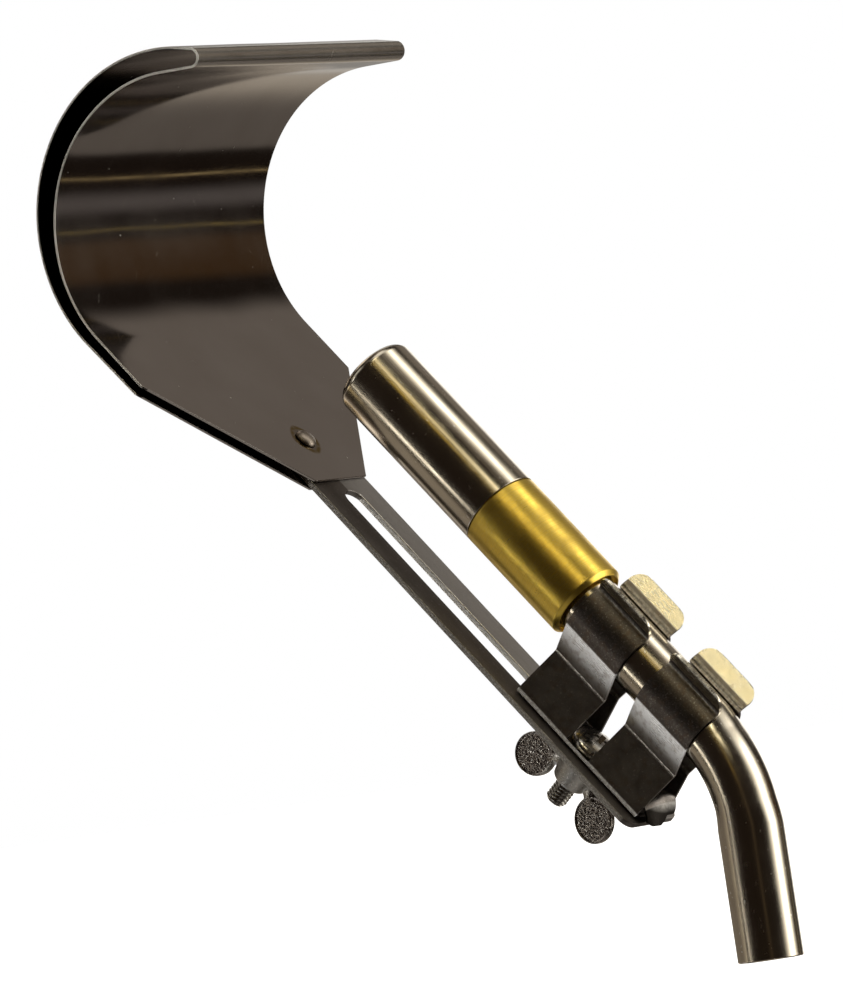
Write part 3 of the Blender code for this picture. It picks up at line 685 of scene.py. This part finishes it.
def make_swirl_vanes():
    hub_r = 2.9 * MM
    hole_r = 1.8 * MM
    root_r = hub_r - 0.6 * MM
    half_thick = 0.4 * MM
    twist = math.radians(32)
    inset = 0.5 * MM
    blades = 6
    layers = 16
    vanes = turned("swirl_vanes", rounded(sleeve(hub_r, hole_r, VANE_LOW, VANE_HIGH), 0.2 * MM), steps=64)
    corners = ((root_r, -half_thick), (VANE_R, -half_thick), (VANE_R, half_thick), (root_r, half_thick))
    for start in turns_of(blades):
        rings = []
        for layer in range(layers + 1):
            share = layer / layers
            turn = Matrix.Rotation(start + twist * share, 4, 'Z')
            height = VANE_LOW + inset + (VANE_HIGH - VANE_LOW - 2 * inset) * share
            rings.append([turn @ Vector((x, y, height)) for x, y in corners])
        vanes = carved(vanes, skinned("blade", rings), operation='UNION')
    stand_for("swirl_vanes", vanes, BARREL, plain_metal("vane_brass", (0.60, 0.43, 0.15), 0.35))


def make_vane_pin():
    pole_r = 0.4 * MM
    shank_r = 1.5 * MM
    head_end = PIN_LOW + 1.2 * MM
    seat = VANE_HIGH + GAP
    outline = [(pole_r, PIN_HIGH), (PIN_HEAD_R * 0.6, PIN_HIGH - 0.25 * MM),
               (PIN_HEAD_R, PIN_HIGH - 0.9 * MM), (PIN_HEAD_R, seat), (shank_r, seat),
               (shank_r, head_end), (PIN_HEAD_R, head_end), (PIN_HEAD_R, PIN_LOW), (pole_r, PIN_LOW)]
    steel = plain_metal("pin_steel", (0.5, 0.48, 0.45), 0.3)
    turned_piece("vane_pin", outline, 0.2 * MM, BARREL, steel, hollow=False, steps=64)


def make_wire_ring(node, where, height, opening):
    """A sprung ring of round wire about local z, open by some degrees and thinner at its ends."""
    wire_r = 0.45 * MM
    ring_r = extent(node, ACROSS, Vector())[1] - wire_r
    half_gap = math.radians(opening / 2)
    steps = 96
    rings = []
    for step in range(steps + 1):
        angle = half_gap + (2 * math.pi - 2 * half_gap) * step / steps
        thick = wire_r * (0.6 if step in (0, steps) else 1)
        out = Vector((math.cos(angle), math.sin(angle), 0))
        middle = ring_r * out + Vector((0, 0, height))
        rings.append([middle + thick * (math.cos(a) * out + math.sin(a) * UP) for a in turns_of(16)])
    stand_for(node, skinned(node, rings), where, plain_metal(node + "_wire", (0.30, 0.29, 0.28), 0.3))


def make_inlet():
    """Jet carrier and its ring, jet with its filter and washer, and the mixing throat."""
    fit_r = BORE_R - GAP
    jet_r = 2.4 * MM
    hole_r = jet_r + GAP
    brass = turned_brass("inlet_brass", (0.66, 0.48, 0.16), 0.3)
    carrier = turned("jet_carrier", rounded(sleeve(fit_r, hole_r, CARRIER_LOW, CARRIER_HIGH), 0.5 * MM))
    ports = ring_of_pins(1.1 * MM, 5.0 * MM, 6, CARRIER_LOW - MM, CARRIER_HIGH + MM)
    stand_for("jet_carrier", carved(carrier, ports), WORLD, brass)
    make_wire_ring("carrier_ring", WORLD, 1.0 * MM, 30)

    washer_low = CARRIER_HIGH + GAP
    washer_high = washer_low + 0.6 * MM
    turned_piece("jet_washer", sleeve(3.6 * MM, hole_r, washer_low, washer_high), 0.2 * MM, WORLD,
                 plain_metal("washer_copper", (0.72, 0.36, 0.22), 0.35), steps=96)

    shoulder = washer_high + GAP
    shoulder_r = 3.4 * MM
    tip = shoulder + 5.2 * MM
    inlet = 2.2 * MM
    inlet_r = 1.6 * MM
    filter_seat = 5.5 * MM
    jet = [(0.9 * MM, tip), (1.9 * MM, shoulder + 2.2 * MM), (shoulder_r, shoulder + 2.0 * MM),
           (shoulder_r, shoulder), (jet_r, shoulder), (jet_r, inlet), (inlet_r, inlet),
           (inlet_r, filter_seat), (0.5 * MM, filter_seat + 0.8 * MM), (0.3 * MM, tip)]
    turned_piece("gas_jet", jet, 0.15 * MM, WORLD, brass, steps=96)
    disc = [(0.2 * MM, 4.8 * MM), (1.3 * MM, 4.8 * MM), (1.3 * MM, 2.8 * MM), (0.2 * MM, 2.8 * MM)]
    bronze = plain_metal("sintered_bronze", (0.42, 0.28, 0.14), 0.7, grain=4, depth=0.06)
    turned_piece("jet_filter", disc, 0.15 * MM, WORLD, bronze, hollow=False, steps=64)

    throat_r = 3.4 * MM
    mouth_r = 6.4 * MM
    curve = 5 * MM
    steps = 16
    outline = [(fit_r, THROAT_HIGH), (fit_r, THROAT_LOW)]
    outline += [(throat_r + (mouth_r - throat_r) * (1 - math.sin(math.pi / 2 * s / steps)),
                 THROAT_LOW + curve * s / steps) for s in range(steps + 1)]
    outline += [(throat_r, THROAT_LOW + 1.5 * curve), (mouth_r, THROAT_HIGH)]
    zinc = plain_metal("throat_zinc", (0.50, 0.49, 0.46), 0.4)
    turned_piece("mixing_throat", outline, 0.2 * MM, WORLD, zinc)


# ---- spring clip

def clip_half_outline():
    """Outside of the clip from the middle of its web to one lip, as (across, up) points."""
    half_width = 8.65 * MM
    waist = Vector((3.6 * MM, WAIST_UP))
    hug = [Vector(p) for p in arc((0, AXIS_HEIGHT), 9.6 * MM, -25, 56, 28)]
    bow = (hug[0] - waist).orthogonal().normalized() * -0.12 * MM
    band = [waist.lerp(hug[0], s / 12) + bow * 4 * (s / 12) * (1 - s / 12) for s in range(1, 12)]
    corners = [Vector((0.7 * MM * step, GAP)) for step in range(9)] + [Vector((half_width, GAP)), waist]
    eased = rounded(corners + [band[0]], 1.25 * MM, closed=False, steps=6)[:-1]
    throat = rounded([hug[-3], hug[-1], LIP_TIP], 1.6 * MM, closed=False, steps=6)
    path = [Vector(p) for p in eased] + band + hug[:-3] + [Vector(p) for p in throat[:-1]]
    shares = (0.3, 0.45, 0.6, 0.7, 0.78, 0.86, 0.92, 0.97, 1.0)
    return path + [path[-1].lerp(LIP_TIP, share) for share in shares]


def lip_trim(points, index, corner_r):
    """How much shorter the clip is at this point, so that the lip's corners come out round."""
    left = (points[-1] - points[index]).length
    if left >= corner_r or points[index].y < AXIS_HEIGHT:
        return 0.0
    return corner_r - math.sqrt(corner_r ** 2 - (corner_r - left) ** 2)


def make_spring_clip():
    half = clip_half_outline()
    trims = [lip_trim(half, index, 4 * MM) for index in range(len(half))]
    outline = [Vector((-p.x, p.y)) for p in half[:0:-1]] + half
    trims = trims[:0:-1] + trims
    spans = ((TAIL_START, -4.0 * MM), (4.4 * MM, CLIP_END))
    near_floor = 2.0 * MM
    far_floor = 6.6 * MM
    tail_half = 5.7 * MM
    slices = 8
    shape = bmesh.new()
    jaws = []
    for low, high in spans:
        rows = []
        for point, trim in zip(outline, trims):
            start, end = low + trim, high - trim
            rows.append([shape.verts.new((start + (end - start) * s / slices, point.x, point.y))
                         for s in range(slices + 1)])
        jaws.append(rows)
        for row, after in zip(rows, rows[1:]):
            for s in range(slices):
                shape.faces.new((row[s], row[s + 1], after[s + 1], after[s]))
    rear, front = jaws
    for row in range(len(outline) - 1):
        floor = near_floor if outline[row].x > 0 else far_floor
        if max(outline[row].y, outline[row + 1].y) <= floor:
            shape.faces.new((rear[row][-1], front[row][0], front[row + 1][0], rear[row + 1][-1]))
    add_tail(shape, [row[0] for row, p in zip(rear, outline)
                     if abs(p.x) <= tail_half and p.y < GAP + 0.01 * MM])
    mesh = mesh_from(shape, "spring_clip", crease=16)
    clip = stand_for("spring_clip", mesh, CLAMP, spring_steel("clip_steel"))
    sheeted(clip, CLIP_SHEET, 1 if faces_inward(mesh) else -1)
    softened(clip, 0.12 * MM)


def faces_inward(mesh):
    """Whether the lowest face of an open shell looks up, towards the inside."""
    lowest = min(mesh.polygons, key=lambda face: face.center.z)
    return lowest.normal.z > 0


# Where the tongue's rim ends, from the near side to the far: share across, then millimetres away
# from the web and up.
TAIL_RIM = ((0, 3.0, 0.5), (0.13, 4.2, 0.45), (0.32, 4.4, 0.6), (0.50, 3.6, 1.2),
            (0.62, 2.5, 2.1), (0.80, 2.3, 2.0), (0.93, 2.1, 2.0), (1, 1.5, 2.5))


def along_rim(share):
    """How far away and up the rim is at a share of the way across, eased between TAIL_RIM's rows."""
    for before, after in zip(TAIL_RIM, TAIL_RIM[1:]):
        if share <= after[0]:
            part = (share - before[0]) / (after[0] - before[0])
            part = part * part * (3 - 2 * part)
            return [(1 - part) * before[axis] + part * after[axis] for axis in (1, 2)]
    return TAIL_RIM[-1][1:]


def add_tail(shape, edge):
    """The tongue at the web's end: rolled up, back and over, higher on the far side, with a lobed rim.

    Each strip of it is a curve through five control points, in millimetres from the web's end.
    """
    half = max(abs(vertex.co.y) for vertex in edge)
    weights = (1, 4, 6, 4, 1)
    near_height, far_extra = 2.7, 2.3
    splay = 0.12
    steps = 24
    previous = edge
    for step in range(1, steps + 1):
        t = step / steps
        shares = [weight * (1 - t) ** (4 - power) * t ** power for power, weight in enumerate(weights)]
        ring = []
        for vertex in edge:
            aside = (half - vertex.co.y) / (2 * half)
            rim_away, rim_up = along_rim(aside)
            tall = near_height + far_extra * aside
            away = sum(s * a for s, a in zip(shares, (0, 1.8, -6.4, -2.0, rim_away)))
            rise = sum(s * u for s, u in zip(shares, (0, 0, 1.15 * tall, 1.8 * tall, rim_up)))
            across = vertex.co.y * (1 + splay * max(0.0, 2 * t - 1))
            ring.append(shape.verts.new((edge[0].co.x - away * MM, across, GAP + rise * MM)))
        for one in range(len(ring) - 1):
            shape.faces.new((ring[one], previous[one], previous[one + 1], ring[one + 1]))
        previous = ring


# ---- bolt, washer and wing nut

def make_clamp_bolt():
    """Domed head with a cross recess, on a shank with a right-hand thread."""
    head_r = 7 * MM
    seat = CLIP_SHEET + 2 * GAP
    rim = seat + 0.9 * MM
    outline = dome(head_r, rim, BOLT_TOP - rim, range(3, 91, 3)) + [(head_r, seat), (1.2 * MM, seat)]
    head = turned("clamp_bolt", rounded(outline, 0.25 * MM, closed=False), hollow=False)
    recess = (Vector((1.6, 0.45, -2.1)) * MM, Vector((3.4, 0.85, 1.0)) * MM)
    blades = []
    for turn in (20, 110):
        rings = [[(-x, -y, z), (x, -y, z), (x, y, z), (-x, y, z)] for x, y, z in recess]
        place = Matrix.Translation((0, 0, BOLT_TOP)) @ Matrix.Rotation(math.radians(turn), 4, 'Z')
        blades.append(moved(skinned("blade", rings), place))
    head = carved(head, *blades)
    mesh = joined("clamp_bolt", [head, thread_mesh(BOLT_END, seat + 0.3 * MM)])
    mesh.set_sharp_from_angle(angle=math.radians(35))
    stand_for("clamp_bolt", mesh, CLAMP, zinc_plate("bolt_zinc", (0.60, 0.58, 0.55), 0.14, grain=0.8))


def thread_mesh(low, high):
    """A right-hand thread about local z, with a chamfer at its low end."""
    depth = 0.55 * MM
    chamfer = 0.8 * MM
    sides = 48
    per_turn = 10
    rows = round((high - low) / THREAD_PITCH * per_turn)
    rings = []
    for row in range(rows + 1):
        height = low + (high - low) * row / rows
        taper = max(0, chamfer - (height - low)) * 0.8
        ring = []
        for side in range(sides):
            turn = side / sides
            phase = (height / THREAD_PITCH - turn) % 1
            ridge = abs(2 * phase - 1)
            radius = THREAD_R - depth * min(1, max(0, 1.25 * ridge - 0.12))
            radius = min(radius, THREAD_R - taper)
            angle = 2 * math.pi * turn
            ring.append((radius * math.cos(angle), radius * math.sin(angle), height))
        rings.append(ring)
    return skinned("thread", rings, crease=60)


def make_washer():
    turned_piece("plain_washer", sleeve(6 * MM, 3.25 * MM, WASHER_LOW, WASHER_HIGH), 0.25 * MM, CLAMP,
                 zinc_plate("washer_zinc"))


def wing_disc(side):
    """A round wing with a raised rim, drawn a little longer away from the hub."""
    face = 0.78 * MM
    stretched = 1.07
    half = [(0.4 * MM, face), (WING_R - 0.7 * MM, face), (WING_R - 0.3 * MM, 1.15 * MM), (WING_R, 0.7 * MM)]
    disc = turned("wing", half + [(radius, -up) for radius, up in reversed(half)], hollow=False, steps=96)
    lay_flat = Matrix.Rotation(math.pi / 2, 4, 'X')
    stretch = Matrix.Scale(stretched, 4, Vector((side * 0.8, 0, -0.6)))
    return moved(disc, Matrix.Translation((side * WING_OUT, 0, WING_DOWN)) @ stretch @ lay_flat)


def wing_neck(side):
    """The narrow bar from the hub to a wing, through ovals at shares of its length in millimetres."""
    root = Vector((side * 4.9 * MM, 0, -6.7 * MM))
    tip = Vector((side * 8.8 * MM, 0, -9.7 * MM))
    aside = Vector((0, 1, 0))
    up = (tip - root).normalized().cross(aside)
    ovals = ((0, 3.0, 1.5), (0.25, 2.5, 1.3), (0.5, 2.1, 1.15), (0.75, 2.1, 1.05), (1, 2.6, 0.9))
    rings = []
    for share, tall, thick in ovals:
        middle = root.lerp(tip, share)
        rings.append([middle + MM * (tall * math.cos(a) * up + thick * math.sin(a) * aside)
                      for a in turns_of(24)])
    return skinned("neck", rings)


def make_wing_nut():
    """A casting: cone-shaped hub, narrow necks and two round wings with a stippled face."""
    bore_r = THREAD_R + 0.25 * MM
    foot = -10.6 * MM
    hub = [(6.1 * MM, NUT_TOP), (6.2 * MM, NUT_TOP - 1.2 * MM), (4.9 * MM, foot + 0.5 * MM),
           (4.4 * MM, foot), (bore_r, foot), (bore_r, NUT_TOP)]
    pieces = [turned("wing_nut", hub)]
    for side in (1, -1):
        pieces += [wing_disc(side), wing_neck(side)]
    thing = holder_of(joined("wing_nut", pieces))
    cast = thing.modifiers.new("cast", 'REMESH')
    cast.mode = 'VOXEL'
    cast.voxel_size = 0.16 * MM
    cast.use_smooth_shade = True
    soft = thing.modifiers.new("soft", 'SMOOTH')
    soft.factor = 0.5
    soft.iterations = 4
    mesh = settled(thing)
    stipple(mesh)
    mesh.shade_smooth()
    where = CLAMP @ Matrix.Rotation(math.radians(-3), 4, 'Z')
    stand_for("wing_nut", mesh, where, wing_zinc("wing_nut_zinc"))


def stipple(mesh):
    """Presses the wings' flat faces into small irregular pits, which fade out towards the rim."""
    pitted_r = WING_R - 0.55 * MM
    fade = 0.35 * MM
    pit_size = 0.55 * MM
    depth = 0.12 * MM
    for vertex in mesh.vertices:
        place = vertex.co
        out = math.hypot(abs(place.x) - WING_OUT, place.z - WING_DOWN)
        inside = min(1.0, max(0.0, (pitted_r - out) / fade))
        if inside > 0:
            pit = noise.noise(place / pit_size)
            vertex.co.y += math.copysign(depth * pit * inside, place.y)


# ---- arm, reflector and rivet

def make_slotted_arm():
    corner_r = 3.5 * MM
    rivet_hole_r = 2.2 * MM
    ease = 0.22 * MM
    edge = []
    for x, y, start in ((ARM_STOP, ARM_HALF, 0), (ARM_START, ARM_HALF, 90),
                        (ARM_START, -ARM_HALF, 180), (ARM_STOP, -ARM_HALF, 270)):
        centre = (x - math.copysign(corner_r, x), y - math.copysign(corner_r, y))
        edge += arc(centre, corner_r, start, start + 90, 14)
    slot = arc((SLOT_HIGH - SLOT_HALF, 0), SLOT_HALF, 90, -90, 32)
    slot += arc((SLOT_LOW + SLOT_HALF, 0), SLOT_HALF, -90, -270, 32)
    hole = arc((RIVET_AT, 0), rivet_hole_r, 0, 352.5, 47)
    curve = bpy.data.curves.new("slotted_arm", 'CURVE')
    curve.dimensions = '2D'
    curve.fill_mode = 'BOTH'
    curve.extrude = -ARM_BACK / 2 - ease
    curve.bevel_depth = ease
    curve.bevel_resolution = 2
    curve.offset = -ease
    for loop in (edge, slot, hole):
        spline = curve.splines.new('POLY')
        spline.points.add(len(loop) - 1)
        spline.use_cyclic_u = True
        for point, (x, y) in zip(spline.points, loop):
            point.co = (x, y, 0, 1)
    shape = bmesh.new()
    shape.from_mesh(settled(holder_of(curve)))
    bmesh.ops.translate(shape, verts=shape.verts, vec=(0, 0, ARM_BACK / 2))
    mesh = mesh_from(shape, "slotted_arm", crease=40)
    arm = stand_for("slotted_arm", mesh, CLAMP, strip_steel("arm_steel"))
    flats = arm.modifiers.new("flats", 'WEIGHTED_NORMAL')
    flats.keep_sharp = True


def reflector_path():
    """Middle of the folded sheet, seen from the side, as (along, up) points in the clamp frame."""
    inner_level = GAP + REFLECTOR_SHEET / 2
    outer_level = ARM_BACK - GAP - REFLECTOR_SHEET / 2
    inner_r = 39.7 * MM
    outer_r = 43.6 * MM
    outer_centre = (162.5 * MM, 41 * MM)
    fold_r = 2.35 * MM
    lean = math.radians(130)
    flare = 10.2 * MM
    steps = [TAPER_END * s / 24 + TAB_START * (1 - s / 24) for s in range(25)]
    path = [(along, inner_level) for along in steps]
    path += arc((160 * MM, inner_level + inner_r), inner_r, -90, 40, 72)
    heading = Vector((math.cos(lean), math.sin(lean)))
    last = Vector(path[-1])
    path += [tuple(last + heading * flare * s / 6) for s in range(1, 7)]
    fold_centre = Vector(path[-1]) + fold_r * Vector((heading.y, -heading.x))
    path += arc(fold_centre, fold_r, 220, 220 - 172, 20)[1:]
    path += arc(outer_centre, outer_r, 47, -90, 76)
    path += [(along, outer_level) for along in reversed(steps)]
    return path


def make_reflector():
    path = reflector_path()
    tab_half = 11.7 * MM
    wave_height = 0.10 * MM
    wave_length = 26 * MM
    columns = 28
    shape = bmesh.new()
    rows = []
    for index, (along, up) in enumerate(path):
        share = min(1.0, max(0.0, (along - TAB_START) / (TAPER_END - TAB_START)))
        half = tab_half + share * (REFLECTOR_HALF - tab_half)
        before = Vector(path[max(index - 1, 0)])
        after = Vector(path[min(index + 1, len(path) - 1)])
        out = (after - before).orthogonal().normalized()
        row = []
        for column in range(columns + 1):
            across = half * (2 * column / columns - 1)
            wave = share * wave_height * noise.noise(Vector((along, across, up)) / wave_length)
            row.append(shape.verts.new((along + wave * out.x, across, up + wave * out.y)))
        rows.append(row)
    for row, after in zip(rows, rows[1:]):
        for column in range(columns):
            shape.faces.new((row[column], after[column], after[column + 1], row[column + 1]))
    mesh = mesh_from(shape, "reflector", crease=180)
    shell = stand_for("reflector_shell", mesh, CLAMP, reflector_steel("reflector_sheet"))
    sheeted(shell, REFLECTOR_SHEET, 0)
    softened(shell, 0.11 * MM)


def make_rivet():
    """A low dome in the bowl, and the set end on the back."""
    face = GAP + 0.8 * MM
    back = ARM_BACK - GAP - 0.8 * MM
    set_end = back - 0.9 * MM
    head_r = 3.0 * MM
    shank_r = 1.9 * MM
    outline = dome(head_r, face, 1.5 * MM, range(6, 87, 4))
    outline += [(head_r, face), (shank_r, face), (shank_r, back), (3.3 * MM, back),
                (2.9 * MM, set_end), (0.4 * MM, set_end)]
    steel = plain_metal("rivet_steel", (0.36, 0.31, 0.265), 0.36, grain=0.6)
    turned_piece("reflector_rivet", outline, 0.3 * MM, CLAMP @ Matrix.Translation((RIVET_AT, 0, 0)), steel,
                 hollow=False, steps=96)


# ---- studio

def direction(azimuth, elevation):
    """Unit vector to a place round the object. Azimuth 0 is towards -y and 90 towards +x."""
    a, e = math.radians(azimuth), math.radians(elevation)
    return Vector((math.sin(a) * math.cos(e), -math.cos(a) * math.cos(e), math.sin(e)))


def softbox(name, azimuth, elevation, wide, tall, radiance):
    """A soft warm panel that spans the given angles as seen from the middle of the object."""
    distance = 1.6
    light = bpy.data.lights.new(name, 'AREA')
    light.shape = 'RECTANGLE'
    light.size = 2 * distance * math.tan(math.radians(wide / 2))
    light.size_y = 2 * distance * math.tan(math.radians(tall / 2))
    light.energy = radiance * math.pi * light.size * light.size_y
    light.color = (1.0, 0.95, 0.86)
    panel = holder_of(light)
    away = direction(azimuth, elevation)
    panel.location = (CAD_BOX[0] + CAD_BOX[1]) / 2 + away * distance
    panel.rotation_euler = away.to_track_quat('Z', 'Y').to_euler()
    panel.visible_camera = False


class Room(Graph):
    """What the metal mirrors: a dark warm room with soft-edged panels, painted on the surround."""

    def __init__(self, world, base):
        world.use_nodes = True
        super().__init__(world.node_tree)
        self.ray = self.node("TexCoord", "Generated", {})
        self.colour = (*base, 1)

    def along(self, axis):
        return self.node("VectorMath", "Value", {0: self.ray, 1: axis}, operation='DOT_PRODUCT')

    def inside(self, axis, half, soft):
        """One within half degrees of the panel's middle along an axis, with a soft border."""
        return self.between(self.maths('ABSOLUTE', self.along(axis)), math.sin(math.radians(half + soft)),
                            math.sin(math.radians(max(0.0, half - soft))), curve='SMOOTHSTEP')

    def panel(self, azimuth, elevation, half_wide, half_tall, soft, colour, tilt=0):
        """Adds light in a direction, with its half sizes, soft border and tilt in degrees."""
        ahead = direction(azimuth, elevation)
        right = Matrix.Rotation(math.radians(-tilt), 3, ahead) @ UP.cross(ahead).normalized()
        mask = self.both(self.inside(right, half_wide, soft),
                         self.inside(ahead.cross(right), half_tall, soft))
        mask = self.both(mask, self.maths('GREATER_THAN', self.along(ahead), 0))
        self.colour = self.mixed(self.colour, colour, mask, blend='ADD')

    def done(self):
        """The eye sees plain white where the metal sees the room."""
        seen = self.node("LightPath", "Is Camera Ray", {})
        self.put(self.mixed(self.colour, (1, 1, 1), seen), self.nodes["Background"].inputs["Color"])


# The room's panels: azimuth, elevation, half width, half height and soft border in degrees, then the
# light's colour, and a tilt in degrees where there is one.
PANELS = (
    (115, 6, 18, 36, 12, (2.4, 2.3, 2.05)),
    (121, 58, 10, 9, 9, (2.3, 2.2, 1.95)),
    (90, 62, 10, 8, 7, (0.16, 0.13, 0.10)),
    (-42.5, -5.4, 3.8, 1.7, 0.8, (5.5, 5.2, 4.5)),
    (-34, -19, 3.2, 12, 1.5, (1.3, 1.25, 1.15), 32),
    (-59, -1, 1.6, 4, 1.5, (0.85, 0.78, 0.62)),
    (-66, -1, 5, 5, 4, (0.14, 0.12, 0.09)),
    (-48, 14, 2.5, 6, 1, (4.0, 3.9, 3.7)),
    (-98, -8, 44, 17, 9, (0.19, 0.165, 0.135)),
    (-98, -19, 42, 7, 5, (0.11, 0.095, 0.075)),
    (-33, 3.5, 3, 2, 2, (0.20, 0.19, 0.18)),
    (-130, -12, 9, 4, 2.5, (1.0, 0.96, 0.88)),
    (-118, -16, 9, 4, 4, (0.26, 0.255, 0.25)),
    (24.5, 45.5, 2.6, 2.6, 1.2, (1.15, 0.74, 0.08)),
    (34.5, 50.8, 3.2, 2.8, 1.5, (1.9, 1.6, 0.85)),
    (27, 60, 3.2, 6, 1.5, (4.6, 4.2, 2.9), 32),
    (42, 41, 3.2, 6, 1.5, (4.6, 4.2, 2.9), 32),
    (-84, -34, 26, 7, 4, (0.95, 0.97, 1.0)),
    (31, 30, 2.5, 13, 2, (0.25, 0.16, 0.03)),
    (37, 6, 3.5, 14, 3, (0.05, 0.036, 0.02)),
    (-163, 4, 14, 16, 5, (1.5, 1.46, 1.38)),
    (160, -1, 7, 6, 4, (0.11, 0.095, 0.07)),
    (-161, -30, 29.5, 14, 1.5, (0.155, 0.138, 0.12)),
    (-150, -20, 14, 11, 9, (0.30, 0.265, 0.21)),
    (154, -24.3, 2.6, 0.22, 0.2, (0.95, 0.72, 0.34), -30),
    (145.8, -3.2, 1.2, 0.22, 0.2, (0.9, 0.68, 0.22), -30),
    (147, 10, 12, 9, 3, (0.05, 0.024, 0.006)),
    (148, -15, 10, 3.5, 3, (0.12, 0.11, 0.105)),
    (178, 33, 14, 12, 6, (0.21, 0.185, 0.16)),
    (0, 88, 17, 17, 7, (1.2, 1.15, 1.05)),
    (-95, 42, 45, 15, 8, (0.75, 0.72, 0.66)),
    (-90, -84, 34, 30, 8, (0.34, 0.32, 0.29)),
)


def make_studio():
    """Two soft lights, the mirrored room and a white floor below the object."""
    softbox("window", 116, 10, 20, 44, 1.5)
    softbox("high_window", 121, 58, 12, 14, 1.2)

    world = bpy.data.worlds.new("studio")
    bpy.context.scene.world = world
    room = Room(world, (0.016, 0.011, 0.008))
    for panel in PANELS:
        room.panel(*panel)
    room.done()

    floor_r = 60
    floor_drop = 0.20
    shape = bmesh.new()
    bmesh.ops.create_circle(shape, cap_ends=True, segments=96, radius=floor_r)
    floor = holder_of(mesh_from(shape, "floor"))
    floor.location.z = CAD_BOX[0].z - floor_drop
    paint = bpy.data.materials.new("floor_paint")
    paint.use_nodes = True
    shader = paint.node_tree.nodes["Principled BSDF"]
    for name, value in (("Base Color", (0.9, 0.9, 0.9, 1)), ("Roughness", 0.9), ("Specular IOR Level", 0),
                        ("Emission Color", (1, 1, 1, 1)), ("Emission Strength", 1)):
        shader.inputs[name].default_value = value
    floor.data.materials.append(paint)
    floor.visible_glossy = False


def make_camera():
    """A long lens just under the object's middle, looking slightly up, with a small roll."""
    azimuth, elevation, roll = 33.526, -1.552, -8.614
    distance = 2.3238
    aim = Vector((-0.08152, -0.00439, 0.12956))
    camera = bpy.data.cameras.new("camera")
    camera.sensor_width = 36
    camera.lens = 322.47
    camera.clip_start = 0.05
    camera.clip_end = 200
    eye = holder_of(camera)
    away = direction(azimuth, elevation)
    look = (-away).to_track_quat('-Z', 'Y')
    eye.location = aim + away * distance
    eye.rotation_mode = 'QUATERNION'
    eye.rotation_quaternion = look @ Matrix.Rotation(math.radians(roll), 3, 'Z').to_quaternion()
    bpy.context.scene.camera = eye


bpy.context.scene.view_settings.view_transform = 'Standard'
make_camera()
make_neck()
make_collar()
make_flame_tube()
make_flame_holder()
make_swirl_vanes()
make_vane_pin()
make_wire_ring("holder_ring", BARREL, HOLDER_HIGH + 0.6 * MM, 24)
make_inlet()
make_spring_clip()
make_clamp_bolt()
make_washer()
make_wing_nut()
make_slotted_arm()
make_reflector()
make_rivet()
make_studio()

bpy.context.view_layer.update()
